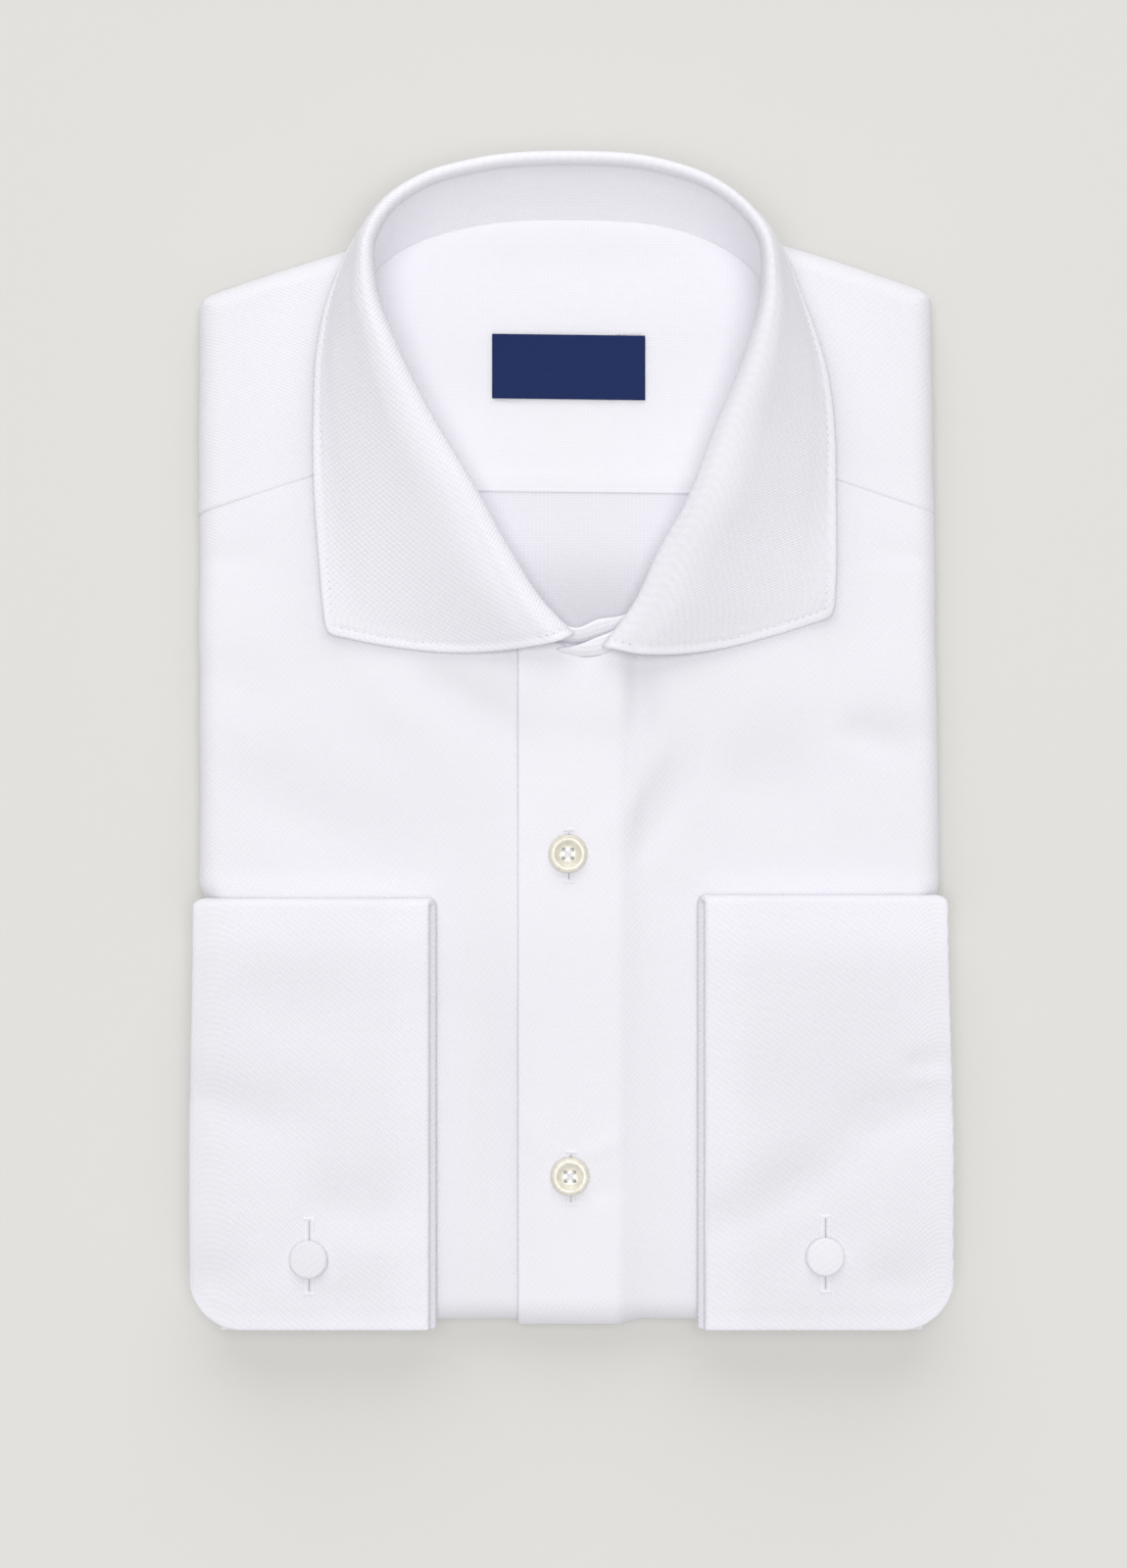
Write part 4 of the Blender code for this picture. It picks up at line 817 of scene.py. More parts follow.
# ======================================================================= collar
def make_stand():
    """The neck ring: each section is a cubic from the seam, upright at first, up into the roll."""
    rows = through(STAND, np.linspace(0.0, 1.0, 420))
    side = outward(rows[:, :2])
    on_left = (np.arange(len(rows)) > len(rows) / 2) & (rows[:, 7] < 60.0)
    over_lap = on_left * fall(rows[:, 6], UNDERLAP_END + 1.5, UNDERLAP_END + 13.0)
    over_lap = over_lap * (WALL + GAP + crown(rows[:, 6], rows[:, 7]))
    free = fall(np.hypot(rows[:, 3], rows[:, 4]), 4.0, 60.0)[:, None]
    lifted = BAND_END_LIFT * free[:, 0] * (np.arange(len(rows)) < len(rows) / 2)
    foot = np.column_stack([rows[:, 6], rows[:, 7], CORE_TOP + 1.0 + over_lap + lifted])
    top = np.column_stack([rows[:, :2] + side * 0.6, rows[:, 2] - ROLL_JOIN - 0.3])
    rise, lean = (top - foot) * (0.0, 0.0, 1.0), (top - foot) * (1.0, 1.0, 0.0)
    back = ease(rows[:, 7:8], 110.0, 145.0)
    low = foot + (0.35 - 0.1 * back + 0.15 * free) * rise + (0.08 + 0.22 * back + 0.12 * free) * lean
    high = top - (0.28 + 0.12 * back - 0.18 * free) * rise - (0.04 - 0.02 * back + 0.38 * free) * lean
    t = (spaced(34.0, 1.3) / 34.0)[:, None, None]
    points = (1 - t) ** 3 * foot + 3 * t * (1 - t) ** 2 * low + 3 * t * t * (1 - t) * high + t ** 3 * top
    down, up, _, _ = edge_distances(points)
    held = 1 - free[None, :, 0]
    wall = STAND_CLOTH * (1 - held * (0.35 * bell(up - 1.6, 0.5) + 0.3 * bell(down - 2.0, 0.5)))
    # Lighter just below the roll as painted light, darker on the free band ends in front; the two seams are
    # dark lines.
    tone_and_painted_light = (0.4 + 0.6 * fall(up, 8.0, 22.0)) * held - 0.6 * (1 - held)
    tone_and_painted_light = tone_and_painted_light - held * (1.5 * bell(up - 1.3, 0.45) + 1.2 * bell(down - 1.2, 0.5))       # the two seams
    obj = shell("collar_stand", points, wall, band_cotton_painted_light, flip=True, tone_and_painted_light=tone_and_painted_light)
    present(obj, "collar_stand")


def leaf_surface(rows, cross):
    """The leaf's middle: up out of the stand, over the roll, down to the edge, one line a station."""
    side, fold = unit(rows[:, 3:5] - rows[:, :2]), unit(np.gradient(rows[:, :2], axis=0))
    square = np.abs(fold[:, 0] * side[:, 1] - fold[:, 1] * side[:, 0])[:, None]
    stretch = 1.0 / np.maximum(square, 0.55)
    from_right, reach = np.arange(len(rows)), 0.045 * len(rows)
    near_tip = (np.exp(-from_right / reach), np.exp(-from_right[::-1] / reach))

    def place(out, down):
        return np.column_stack([rows[:, :2] + side * out * stretch, rows[:, 2:3] - down])

    half, edge = WALL / 2, rows[:, 3:6] + (0.0, 0.0, 0.9)
    roll = ROLL_AT_BACK + (ROLL_IN_FRONT - ROLL_AT_BACK) * fall(rows[:, 1:2], 80.0, 150.0)
    crest = place(roll / 2, half)
    crest[:, 1] -= sum(tip * sag[2] for tip, sag in zip(near_tip, FRONT_EDGE_SAG))
    knots = [place(half, ROLL_JOIN), place(half + 0.25, ROLL_JOIN / 2), crest]
    run, soft = np.linalg.norm(edge[:, :2] - crest[:, :2], axis=1)[:, None], ROLL_SOFTNESS * roll
    for share in (0.08, 0.2, 0.45, 0.72, RIM_SHARE, 1.0):
        drop = (np.sqrt((run * share) ** 2 + soft ** 2) - soft) / (np.sqrt(run ** 2 + soft ** 2) - soft)
        if share == RIM_SHARE:
            drop = 1 - 0.35 * (1 - drop)
        point = crest + (edge - crest) * np.column_stack([0 * drop + share, 0 * drop + share, drop])
        for tip, (sag, power, _) in zip(near_tip, FRONT_EDGE_SAG):
            point[:, 1] -= sag * tip * math.sin(math.pi * share ** power)
        point[:, 2] += rows[:, 8] * 4 * share * (1 - share)
        knots.append(point)
    knots = np.stack(knots, axis=1)
    return resting(np.stack([through(line, cross) for line in knots], axis=1))


def resting(points):
    """The tips are held up by the fronts: the height runs smoothly into theirs where it would fall below."""
    x, y, z = points[..., 0], points[..., 1], points[..., 2]
    over_placket = ease(x, PLACKET_LEFT - 5.0, PLACKET_LEFT) * fall(x, PLACKET_FOLD, PLACKET_FOLD + 9.0)
    front = CORE_TOP + GAP + WALL + crown(x, y) + 1.6 * over_placket + COLLAR_CLOTH / 2 + 0.7
    held = 0.5 * (z + front + np.sqrt((z - front) ** 2 + 0.5))
    z = z + (held - z) * fall(y, 55.0, 75.0)
    return joined(x, y, z)


def away_from(points, line):
    """Distance of each grid point from the nearest point of a finely drawn line."""
    fine = places(line, np.arange(0.0, distances(line)[-1], 0.35))
    nearest = np.full(points.shape[:2], 1e9)
    for part in np.array_split(fine, max(1, len(fine) // 60)):
        gap = np.linalg.norm(points[:, :, None, :] - part[None, None], axis=3)
        nearest = np.minimum(nearest, gap.min(axis=2))
    return nearest


def inset_line(points, away, wanted):
    """Where the distance field first reaches wanted, walking in from the grid's last row."""
    found, farthest = [], 5.0
    for column in range(points.shape[1]):
        line, gap = points[::-1, column], away[::-1, column]
        inside = np.flatnonzero(gap >= wanted)
        if len(inside) == 0 or inside[0] == 0 or distances(line)[inside[0]] > farthest:
            continue
        i = inside[0]
        share = (wanted - gap[i - 1]) / (gap[i] - gap[i - 1])
        found.append(line[i - 1] + (line[i] - line[i - 1]) * share)
    return np.array(found)


def sewn_lines(points, skin_height, edges, away, wanted):
    """Stitch paths along the given edges of a grid: "end" is its last row, then its side columns."""
    skin = points + skin_height
    turned_grids = {"end": (skin, away), "first": (skin.transpose(1, 0, 2)[::-1], away.T[::-1]),
                    "last": (skin.transpose(1, 0, 2), away.T)}
    lines = [inset_line(*turned_grids[edge], wanted) for edge in edges]
    return [line for line in lines if len(line) > 3]


def rounded_tips(points, radius):
    """The two tips' corners drawn in to quarter circles, as a square is mapped on to a disc."""
    _, to_end, from_first, to_last = edge_distances(points)
    ahead_down, ahead_over = unit(np.gradient(points, axis=0)), unit(np.gradient(points, axis=1))
    a = np.clip(1 - to_end / radius, 0.0, 1.0)
    for beside, sign in ((from_first, 1.0), (to_last, -1.0)):
        b = np.clip(1 - beside / radius, 0.0, 1.0)
        pull_down = radius * a * (1 - np.sqrt(1 - b * b / 2))
        pull_over = radius * b * (1 - np.sqrt(1 - a * a / 2))
        points = points - ahead_down * pull_down[..., None] + ahead_over * (sign * pull_over)[..., None]
    return points


def make_leaf():
    """The leaf with a puffed edge, and a row of edge stitching sunk into it."""
    rows = through(COLLAR, spaced(560.0, 1.5) / 560.0)
    cross = np.concatenate([np.linspace(0.0, 0.2, 22)[:-1], 0.2 + 0.8 * (spaced(60.0, 1.2)[5:]) / 60.0])
    points = leaf_surface(rows, (cross - cross[0]) / (cross[-1] - cross[0]))
    down, _, over, _ = edge_distances(points)
    points = points + normals(points) * (drift(over, down, 44, 30.0, 0.12) * ease(down, 8.0, 20.0))[..., None]
    points = rounded_tips(points, 2.4)
    low = down[:, 0] > 5.0
    rim = np.concatenate([points[low, 0], points[-1], points[low, -1][::-1]])
    away = away_from(points, rim)
    wall = COLLAR_CLOTH * (1 + 0.15 * bell(away - 1.4, 1.2) - 0.45 * bell(away - STITCH_INSET, 0.5))
    # Painted light: lighter on the steep slopes, a painted highlight along the roll's crest, and a lighter
    # stitched rim; drift is the cloth's uneven tone.
    from_crest = down - np.take_along_axis(down, points[..., 2].argmax(axis=0)[None], axis=0)
    in_front = fall(points[..., 1], 80.0, 150.0)
    steep = ease(0.95 - np.abs(normals(points)[..., 2]), 0.0, 0.5) * (from_crest > 0)
    tone_and_painted_light = bell(from_crest - 1.0 - in_front, 3.6 + 3.4 * in_front) + 0.25 * fall(away, 1.8, 3.2)
    tone_and_painted_light = np.maximum(tone_and_painted_light, 0.9 * steep) + 0.05 * drift(over, down, 45, 50.0, 1.0)
    obj = shell("collar_leaf", points, wall, fused_cotton, rim=0.7, tone_and_painted_light=tone_and_painted_light)
    present(obj, "collar_leaf")
    height = normals(points) * (0.3 * COLLAR_CLOTH)
    lines = sewn_lines(points, height, ("end", "first", "last"), away, STITCH_INSET)
    stitches("collar_stitching", lines, thread)
    stitches("collar_needle_holes", lines, hole_painted_shade, holes=True)


def sample(points, row, column):
    """Bilinear values of a grid at fractional rows and columns."""
    row, column = np.broadcast_arrays(np.asarray(row, float), np.asarray(column, float))
    r = np.clip(np.floor(row).astype(int), 0, points.shape[0] - 2)
    c = np.clip(np.floor(column).astype(int), 0, points.shape[1] - 2)
    a, b = (row - r)[:, None], (column - c)[:, None]
    return ((1 - a) * (1 - b) * points[r, c] + (1 - a) * b * points[r, c + 1]
            + a * (1 - b) * points[r + 1, c] + a * b * points[r + 1, c + 1])


# ======================================================================= cuffs and sleeves
def cuff_base():
    """Height of a cuff's middle plane, as the solids have it."""
    x = np.array([45.0, 60.0, 80.0])[:, None]
    y = np.array([-60.0, -100.0, -150.0])[None, :]
    return CORE_TOP + WALL + GAP + float(crown(x, y).max()) + GAP + 2 * CUFF_WALL + GAP / 2 + GAP


def cuff_relief(x, y, cuff):
    """The outer half's height above its flat plane: swollen, creased and drawn in at the link."""
    side, (hem, top) = cuff["side"], (CUFF_BOTTOM, cuff["top"])
    swell = ease(y, hem, hem + 24.0) * fall(y, top - 22.0, top)
    swell = swell * ease(side * x, cuff["inner"], cuff["inner"] + 18.0) * fall(side * x, 96.0, 114.0)
    uneven = drift(x, y, 60 + side, 40.0, 0.12) + drift(x, y, 64 + side, 13.0, 0.035)
    height = 0.25 + 1.1 * swell + creases(x, y, cuff["creases"]) + uneven + link_pull(x, y, cuff)
    return np.maximum(height, CUFF_SINK)


def link_pull(x, y, cuff):
    """Cloth drawn in round the link, with soft puckers that run out from it."""
    cx, cy = cuff["side"] * cuff["link"][0], cuff["link"][1]
    away, angle = np.hypot(x - cx, y - cy), np.arctan2(y - cy, x - cx)
    return (-0.8 * bell(away, 9.0) + 0.2 * np.sin(3 * angle + 1.1) * bell(away - 13.0, 8.0)
            - 0.25 * bell(x - cx, 0.9) * bell(y - cy, 11.0))


def cuff_surface(cuff, across, straight, turn):
    """A flattened tube with its outer half turned back.

    Rows run from the lower leaf's open end, round the top fold, to the upper leaf's open
    end; columns from the sleeve seam in to the hand fold and back out to the free edge.
    """
    inner_reach = CUFF_WALL / 2 + GAP / 2
    outer_reach = inner_reach + CUFF_WALL + GAP
    middle, swing = (inner_reach + outer_reach) / 2, (outer_reach - inner_reach) / 2
    base = cuff_base()
    fold = cuff["inner"] + swing + CUFF_WALL / 2
    bend_y = cuff["top"] - outer_reach - CUFF_WALL / 2
    inside = turn[1:-1]
    up = np.concatenate([0 * straight, (1 - np.cos(inside)) / 2, 0 * straight + 1])[:, None]
    angle = np.concatenate([0 * straight, inside, 0 * straight + math.pi])[:, None]
    pull = np.concatenate([straight, 0 * inside + 1, straight[::-1]])[:, None]
    u = across[None, :]
    rounding = middle - swing * np.cos(math.pi * (u - 1))
    reach = np.where(u <= 1, inner_reach, np.where(u < 2, rounding, outer_reach))
    bulge = swing * np.sin(math.pi * np.clip(u - 1, 0, 1))
    wide, narrow = cuff["outer"]                          # the cuff runs in a little towards its top fold
    outer = wide + (narrow - wide) * ease(CUFF_BOTTOM + (bend_y - CUFF_BOTTOM) * pull, -140.0, -50.0)
    edge = CUFF_UNDER_EDGE + (outer - CUFF_UNDER_EDGE) * up
    hand = fold - CUFF_PEEK * (1 - up)
    x = np.where(u < 2, hand - bulge, hand + (edge - hand) * (u - 2))
    x = np.where(u <= 1, CUFF_SEAM + (hand - CUFF_SEAM) * u, x)
    from_edge = np.where(u > 2, np.clip(CUFF_CORNER - (edge - x), 0.0, CUFF_CORNER), 0.0)
    end = CUFF_BOTTOM + CUFF_CORNER - np.sqrt(CUFF_CORNER ** 2 - from_edge ** 2)
    y = np.where(pull < 1, end + (bend_y - end) * pull, bend_y + reach * np.sin(angle))
    z = base - reach * np.cos(angle) + 0 * x
    x = x * cuff["side"]
    turned_up = ease(up, 0.2, 0.95)
    z = z + ease(u, 1.6, 2.1) * turned_up * cuff_relief(x, y, cuff) - 0.5 * fall(u, 0.9, 1.3) * turned_up
    return joined(x, y, z), u + 0 * x, up + 0 * x


def make_cuff(name, cuff):
    """A double cuff with puffed edges, a sunk hem row and a sunk row down its free edge."""
    across = np.concatenate([[0.0, 0.002, 0.005], np.linspace(0.0, 1.0, 22)[1:-1],
                             1 + np.linspace(0.0, 1.0, 14)[:-1], 2 + spaced(72.0, 1.4)[2:] / 72.0])
    straight = np.concatenate([spaced(127.0, 1.5)[:-5] / 127.0, [1.0]])
    points, u, up = cuff_surface(cuff, across, straight, np.linspace(0.0, math.pi, 17))
    down, rise, _, beyond = edge_distances(points)
    outer = u > 2
    hem = np.where(up > 0.5, rise, down)
    line = bell(hem - CUFF_HEM, 0.5) + bell(beyond - STITCH_INSET, 0.45) * (hem > CUFF_HEM)
    puff = 1 + 0.2 * bell(np.minimum(hem, beyond) - 1.6, 1.4) * outer
    wall = CUFF_CLOTH * puff * (1 - 0.4 * np.clip(line, 0, 1) * outer)
    flip = cuff["side"] > 0
    weave = joined(points[..., 0], lengths(points, 0))
    x, y = points[..., 0], points[..., 1]
    # Painted light and shade: lighter towards the top and along the puffed edges, painted shade on the
    # troughs' long slopes; a lighter strip beside the hand fold on the upper half, and the wearer's-left cuff
    # darker low down. drift is the cloth's uneven tone.
    tone_and_painted_light = 0.45 * ease(y, -70.0, -52.0) + 0.2 * fall(np.minimum(hem, beyond), 1.8, 3.4)
    tone_and_painted_light = tone_and_painted_light + 0.25 * fall(np.abs(x), cuff["inner"] + 6.0, cuff["inner"] + 16.0) * (up > 0.5)
    tone_and_painted_light = tone_and_painted_light + 0.05 * drift(x, y, 90, 60.0, 1.0)
    tone_and_painted_light = tone_and_painted_light - 0.15 * fall(y, -145.0, -112.0) * (cuff["side"] > 0)
    tone_and_painted_light = tone_and_painted_light - 0.25 * creases(x, y, cuff["creases"], shade=True) * (up > 0.5)
    # Painted shadow: the fold that peeks out in the gap under the hand fold is painted a tenth darker.
    painted_shadow_gap = (up < 0.5) & (u > 0.6) & (u < 1.9)           # the fold that peeks out
    tone_and_painted_light = np.where(painted_shadow_gap, -1.0, tone_and_painted_light)
    obj = shell(name, points, wall, cuff_cotton, weave, rim=0.6, flip=not flip, tone_and_painted_light=tone_and_painted_light)
    present(obj, name)
    out = normals(points) * (1 if flip else -1)
    skin = points + out * (0.5 * CUFF_CLOTH * 0.62)
    rows, columns = np.arange(points.shape[0]), np.arange(points.shape[1])
    last = columns[(u[0] > 2.02)]
    hem_rows = np.array([np.interp(CUFF_HEM, rise[::-1, c], rows[::-1]) for c in last])
    lines = [sample(skin, hem_rows, last)]
    used = rows[(up[:, -1] > 0.99) & (rise[:, -1] > 2.0)]
    side_columns = np.array([np.interp(STITCH_INSET, beyond[r][::-1], columns[::-1]) for r in used])
    lines.append(sample(skin, used, side_columns))
    stitches(f"{name}_needle_holes", lines, hole_painted_shade, holes=True)
    stitches(f"{name}_stitching", lines, thread)


def make_sleeve(name, cuff):
    """The sleeve's end comes out of the cuff, turns down over the side and in underneath."""
    base = cuff_base()
    middle, radius, low_radius = SLEEVE_OUTSIDE - WALL / 2, 3.0, 1.9
    low = low_radius + WALL / 2
    over = np.radians(np.linspace(90.0, 0.0, 12))
    under = np.radians(np.linspace(0.0, -90.0, 10))
    x = np.concatenate([[CUFF_SEAM + 0.1, CUFF_SEAM + 0.3, CUFF_SEAM + 0.8],
                        middle - radius + radius * np.cos(over), np.full(6, middle),
                        middle - low_radius + low_radius * np.cos(under),
                        SLEEVE_OUTSIDE - SLEEVE_LIP + np.array([0.4, 0.2, 0.0])])
    z = np.concatenate([[base] * 3, base - radius + radius * np.sin(over),
                        np.linspace(base - radius, low, 8)[1:-1],
                        low + low_radius * np.sin(under), [WALL / 2] * 3])
    y = SLEEVE_SPAN[0] + spaced(SLEEVE_SPAN[1] - SLEEVE_SPAN[0], 1.6)
    full = ease(z, 1.2, 5.0) * fall(z, base - 2.0, base - 0.5)
    pleats = 0.28 * np.sin(y / 5.2 + 0.8 * np.sin(y / 17.0)) + 0.2 * np.sin(y / 13.0 + 1.0)
    x = x[:, None] + full[:, None] * pleats[None, :] * 0.8
    points = joined(x * cuff["side"], y, z[:, None])
    obj = shell(name, points, SLEEVE_CLOTH, shirting, flip=cuff["side"] < 0)
    present(obj, name)


# ======================================================================= folded layers
def make_layers():
    """The folded layers: four rounded folds stacked at the edge, uneven in height and reach."""
    edge_top = CORE_TOP - EDGE_RADIUS
    ends = np.linspace(1.0, 0.0, 7)

    def along(corner, straight, count):
        corner_part = 1 - corner * (1 - ends)
        middle = np.linspace(-straight, straight, count)
        return np.unique(np.concatenate([-corner_part[::-1], middle, 1 - corner * ends]).round(5))

    along_x, along_y = along(CORNER_RADIUS / HALF_WIDTH, 0.94, 90), along(CORNER_RADIUS / FRONT, 0.96, 130)
    outline = np.array([(x, -1.0) for x in along_x[:-1]] + [(1.0, y) for y in along_y[:-1]]
                       + [(x, 1.0) for x in along_x[:0:-1]] + [(-1.0, y) for y in along_y[:0:-1]])
    flat = (HALF_WIDTH - WALL - GAP - EDGE_RADIUS,
            np.where(outline[:, 1] > 0, BACK, FRONT) - WALL - GAP - EDGE_RADIUS)

    def ring(turn, lift):
        over = EDGE_RADIUS * turn
        return on_body(outline[:, 0] * (flat[0] + over), outline[:, 1] * (flat[1] + over), lift)

    side_ring = ring(math.pi / 2, 0.0)
    walked, y = distances(side_ring), side_ring[:, 1]
    sway = [drift(walked, 0 * walked, 70 + k, 90.0, 0.45) for k in range(6)]
    tuck = ease(y, SLEEVE_SPAN[0] - 6, SLEEVE_SPAN[0] - 2) * fall(y, SLEEVE_SPAN[1] + 2, SLEEVE_SPAN[1] + 8)
    tuck = tuck * (np.abs(outline[:, 0]) > 0.99)              # room for the sleeve that goes underneath
    folds, loops = 4, []
    for number in range(folds):
        for part in (0.0, 0.06, 0.16, 0.3, 0.5, 0.7, 0.84, 0.94):
            level = (number + part) / folds
            bulge = np.sqrt(np.clip(1 - (2 * part - 1) ** 2, 0, 1))
            reach = -1.0 + 2.3 * bulge + sway[number] * bulge - 0.25 * number * (number - 1)
            height = edge_top * level
            wave = 0.3 * sway[number + 1] * np.sin(math.pi * level)
            hidden = tuck * (height < 2.2)
            points = ring(math.pi / 2, np.minimum(reach, 1.45) * (1 - hidden) - 4.6 * hidden)
            points[:, 2] = height + (wave if height > 0.4 else 0.0)
            loops.append(points)
    loops += [ring(turn, -0.15) for turn in np.linspace(math.pi / 2, 0.0, 8)]
    loops += [loops[-1] * (share, share, 1) for share in (0.9, 0.5, 0.15)]
    loops = np.array(loops)
    rows, columns = loops.shape[:2]
    index = np.arange(rows * columns).reshape(rows, columns)
    wrapped = np.concatenate([index, index[:, :1]], axis=1)
    fans = []
    for row, centre, back in ((0, rows * columns, 1), (rows - 1, rows * columns + 1, -1)):
        pair = np.stack([wrapped[row, :-1], wrapped[row, 1:]], axis=1)[:, ::-back]
        fans.append(np.column_stack([pair, np.full(len(pair), centre)]))
    points = np.concatenate([loops.reshape(-1, 3), [[0.0, 0.0, 0.0], [0.0, 0.0, CORE_TOP - 0.15]]])
    uv = joined(walked, distances(loops[:, 0])[:, None]).reshape(-1, 2)
    uv = np.concatenate([uv, [[0.0, 0.0], [0.0, 0.0]]])
    obj = mesh_object("layers", points, [grid_faces(wrapped), *fans], uv, shirting, np.full(len(points), 0.5))
    present(obj, "folded_layers")


# ======================================================================= trims
def make_label():
    """A woven tape with its ends turned under: a slightly bowed slab with soft edges."""
    width, height = LABEL_SIZE
    x = LABEL_CENTRE[0] - width / 2 + spaced(width, 0.9)
    y = LABEL_CENTRE[1] - height / 2 + spaced(height, 0.9)
    x, y = np.meshgrid(x, y)
    y = y - LABEL_ASKEW * (x - LABEL_CENTRE[0])
    from_end = np.minimum(x - x.min(), x.max() - x)
    z = CORE_TOP + GAP + 1.75 + 0.12 * np.sin((x - x.min()) / width * math.pi)
    z = z + 0.1 * bell(from_end - 2.0, 2.0)
    points = joined(x, y, z)
    obj = shell("neck_label", points, LABEL_CLOTH, label_tape, points[..., :2], rim=0.4)
    present(obj, "neck_label")
    tacks = []
    for sx in (-1, 1):
        for sy in (-1, 1):
            cx = LABEL_CENTRE[0] + sx * (width / 2 - 5.0)
            cy = LABEL_CENTRE[1] + sy * (height / 2 + 0.1)
            level = z.max() - 0.35
            tacks.append(np.array([(cx - 4.0, cy, level), (cx + 4.0, cy + 0.3 * sx, level)]))
    stitches("label_tacking", tacks, thread, length=1.6, pitch=2.0, radius=0.16)


def make_buttonhole(name, centre, slit, level):
    """A worked buttonhole: satin stitches packed down both sides, a bar across each end."""
    cx, cy = centre
    pitch, side_length = 0.42, 1.15
    y = np.arange(cy - slit / 2, cy + slit / 2, pitch)
    z = level(np.full(len(y), cx), y) + 0.08
    centres, along = [], []
    for sx in (-1, 1):
        centres.append(joined(cx + sx * 0.95, y, z))
        along.append(np.tile((1.0, 0.12 * sx, 0.0), (len(y), 1)))
    for end in (-1, 1):
        bar_x = np.arange(cx - 1.4, cx + 1.45, 0.4)
        bar_y = np.full(len(bar_x), cy + end * (slit / 2 + 0.5))
        centres.append(joined(bar_x, bar_y, level(bar_x, bar_y) + 0.1))
        along.append(np.tile((0.0, 1.0, 0.0), (len(bar_x), 1)))
    sew(name, *tube_row(np.concatenate(centres), np.concatenate(along), side_length, 0.26), thread)
    # A grey spindle in the slit stands for the shade in it: painted shade.
    gap_x, gap_y = np.full(24, cx), cy + np.linspace(-0.5, 0.5, 24) * (slit - 0.6)
    gap = joined(gap_x, gap_y, level(gap_x, gap_y) + 0.05)
    sew(f"{name}_gap", *tube_row(*segments(gap), slit / 20, 0.13), hole_painted_shade)


def make_button(name, centre):
    """A four-hole button turned from its profile, with the holes cut and a thread cross."""
    cx, cy = centre
    level = CORE_TOP + float(left_top(np.array(cx), np.array(cy))) + 0.25
    r, h = BUTTON_RADIUS, BUTTON_HEIGHT
    obj = turned(name, [(out * r, up * h) for out, up in BUTTON_PROFILE], (cx, cy, level), pearl)
    for sx, sy in ((-1, -1), (1, -1), (1, 1), (-1, 1)):
        spot = ((cx + sx * BUTTON_HOLE_PLACE) * MM, (cy + SHIFT_Y + sy * BUTTON_HOLE_PLACE) * MM, level * MM)
        bpy.ops.mesh.primitive_cylinder_add(vertices=20, radius=BUTTON_HOLE_RADIUS * MM, depth=8 * MM,
                                            location=spot)
        cutter = bpy.context.object
        cut = obj.modifiers.new("hole", "BOOLEAN")
        cut.object, cut.operation, cut.solver = cutter, "DIFFERENCE", "EXACT"
        bpy.context.view_layer.objects.active = obj
        bpy.ops.object.modifier_apply(modifier=cut.name)
        bpy.data.objects.remove(cutter, do_unlink=True)
    obj.data.set_sharp_from_angle(angle=math.radians(40))
    present(obj, name)
    top = level + 0.62 * h
    legs = []
    for angle in (45.0, 135.0):
        dx, dy = 1.45 * math.cos(math.radians(angle)), 1.45 * math.sin(math.radians(angle))
        for shift in (-0.22, 0.22):
            ox, oy = -shift * dy / 1.45, shift * dx / 1.45
            t = np.linspace(-1, 1, 9)
            line = joined(cx + t * dx * 1.25 + ox, cy + t * dy * 1.25 + oy, top + 0.45 - t ** 4)
            legs.append(segments(line))
    centres, along = (np.concatenate(part) for part in zip(*legs))
    sew(f"{name}_thread", *tube_row(centres, along, 0.62, 0.2), thread)

    def front_level(x, y):
        return CORE_TOP + left_top(x, y)

    make_buttonhole(f"{name}_hole", (cx + 0.3, cy - 0.6), FRONT_BUTTONHOLE, front_level)


def make_link(name, cuff, tilt, tone_and_painted_light):
    """A cloth-covered disc: a low dome with a rounded rim, its cover drawn under."""
    r, h = LINK_RADIUS, LINK_HEIGHT
    cx, cy = cuff["side"] * cuff["link"][0], cuff["link"][1]
    top = cuff_base() + 2 * CUFF_WALL + 1.5 * GAP

    def cuff_level(x, y):
        return top + cuff_relief(x, y, cuff)

    level = float(cuff_level(np.array(cx), np.array(cy))) + 0.35
    spread = spaced(2 * r, 0.35, (0.0, 0.05, 0.15, 0.35)) - r
    x, y = np.meshgrid(spread, spread)
    square = np.maximum(np.abs(x), np.abs(y))
    away = np.hypot(x, y)
    scale = np.where(away > 0, square / np.maximum(away, 1e-9), 1.0)
    x, y = x * scale, y * scale
    away = np.hypot(x, y) / r
    z = level + h * 0.5 + 0.28 * (1 - away ** 2) + tilt[0] * x / r + tilt[1] * y / r
    wall = h * (1 - 0.06 * away ** 2)
    points, weave = joined(cx + x, cy + y, z), joined(x, y)
    present(shell(name, points, wall, fused_cotton, weave, rim=1.1, tone_and_painted_light=tone_and_painted_light), name)
    make_buttonhole(f"{name}_hole", (cx + 0.2, cy + 0.9), CUFF_BUTTONHOLE, cuff_level)


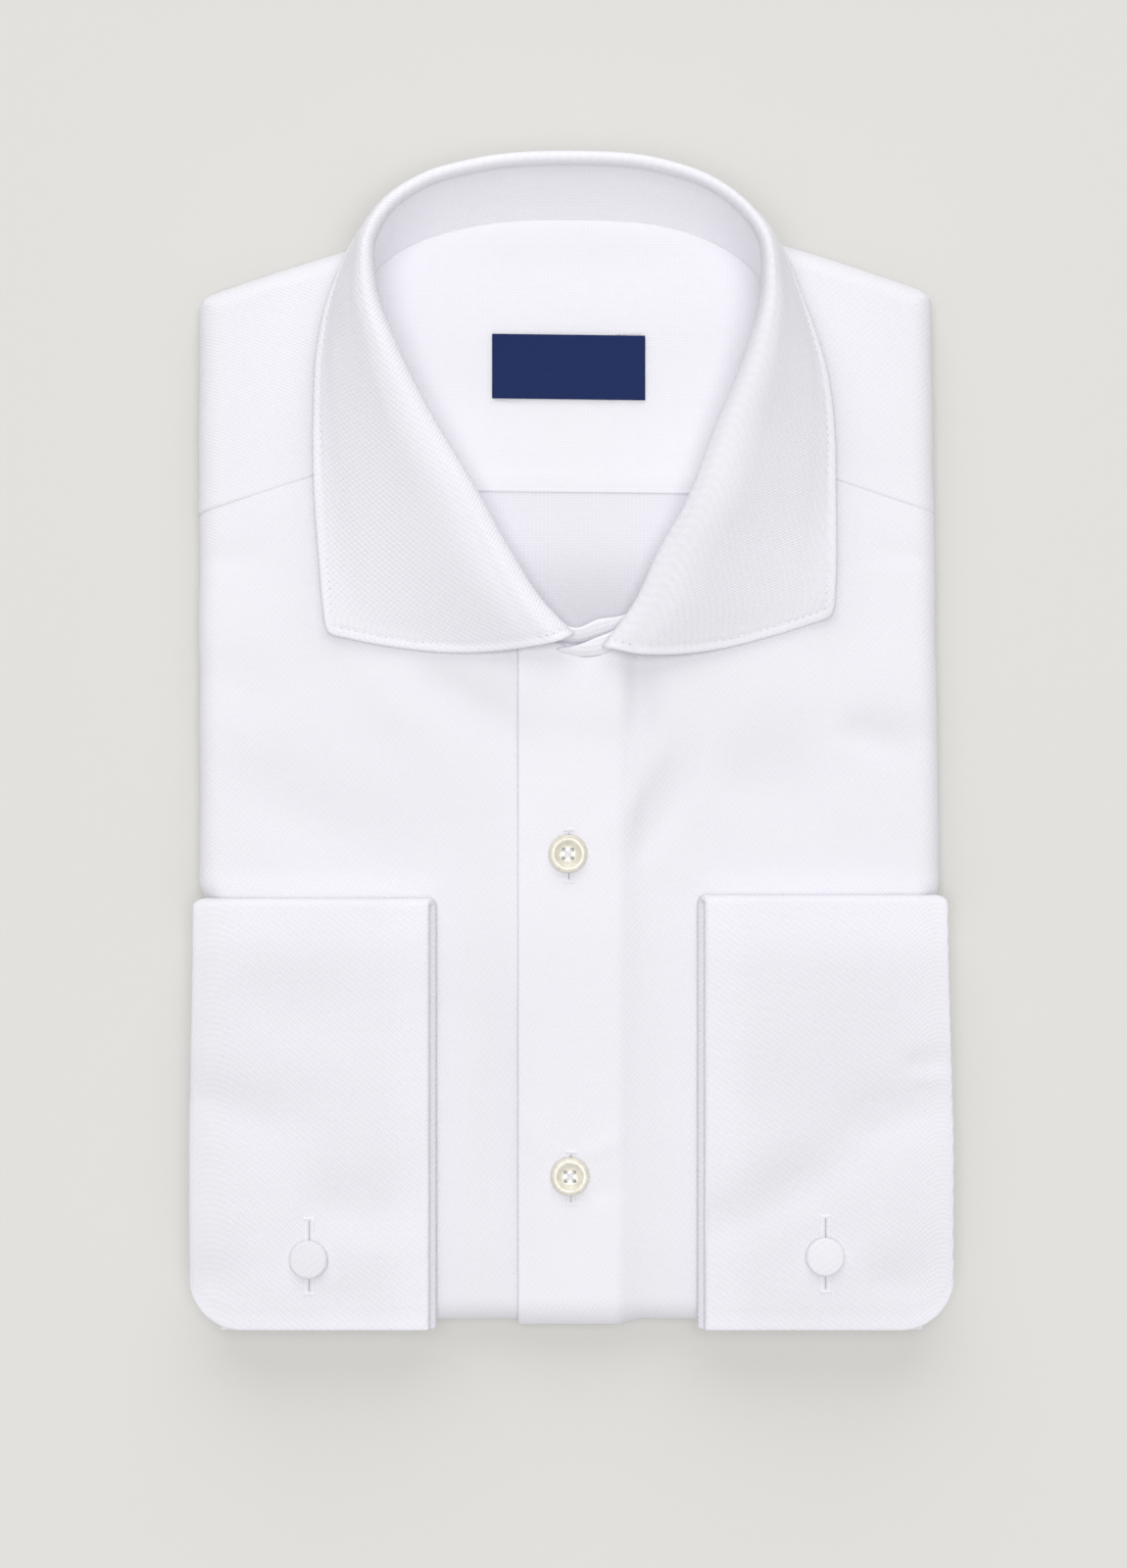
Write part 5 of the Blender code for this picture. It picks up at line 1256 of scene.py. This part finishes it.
# ======================================================================= stage, light and camera
def make_stage():
    """A seamless sheet of pale warm grey paper."""
    bpy.ops.mesh.primitive_plane_add(size=6.0, location=(0.0, 0.0, -0.0002))
    floor = bpy.context.object
    floor.name = "floor"
    paper, _, shader = new_material("matt_grey_paper", HEX["floor"], 0.95)
    shader.inputs["Specular IOR Level"].default_value = 0.1
    floor.data.materials.append(paper)


def make_light():
    """An even white tent, with a wide soft light overhead and one from each end of the shirt.

    The three lights stand for large panels far off, so they are suns with a wide disc. Each
    share is the part of a level surface's light that comes from it.
    """
    world = bpy.data.worlds.new("tent")
    bpy.context.scene.world = world
    world.use_nodes = True
    background = world.node_tree.nodes["Background"]
    background.inputs[0].default_value = (1.0, 1.0, 1.0, 1.0)
    background.inputs[1].default_value = TENT_SHARE
    for name, share, tilt, turn, spread in PANELS:
        lamp = bpy.data.lights.new(name, "SUN")
        lamp.energy = share * math.pi / math.cos(math.radians(tilt))
        lamp.angle = math.radians(spread)
        obj = bpy.data.objects.new(name, lamp)
        obj.rotation_euler = (-math.radians(tilt), 0.0, math.radians(turn))
        bpy.context.scene.collection.objects.link(obj)


def make_camera():
    """Straight above; the lens is worked out from the height that the frame covers."""
    height, plane, sensor = 1.2, 0.017, 36.0
    frame_height = 1600 / 3.4 * MM                      # a 1600 pixel frame at 3.4 pixels a millimetre
    camera = bpy.data.cameras.new("camera")
    camera.sensor_width = sensor
    camera.lens = sensor * height / frame_height
    obj = bpy.data.objects.new("camera", camera)
    obj.location = (-2.35 * MM, (-13.1 + SHIFT_Y) * MM, height + plane)
    bpy.context.scene.collection.objects.link(obj)
    bpy.context.scene.camera = obj


bpy.context.scene.view_settings.view_transform = "Standard"
make_camera()
make_stage()
make_light()
make_layers()
make_front("front_right", -1, right_top)
make_front("front_left", 1, left_top)
make_yoke()
make_inside()
make_label()
make_stand()
make_leaf()
for side_name, cuff_sizes in CUFFS.items():
    make_cuff(f"cuff_{side_name}", cuff_sizes)
    make_sleeve(f"sleeve_{side_name}", cuff_sizes)
for button_name, place in BUTTONS.items():
    make_button(button_name, place)
# The right link's cover is painted greyer: painted shade.
make_link("link_right", CUFFS["right"], (0.35, -0.3), -0.5)
make_link("link_left", CUFFS["left"], (0.1, 0.05), 0.0)
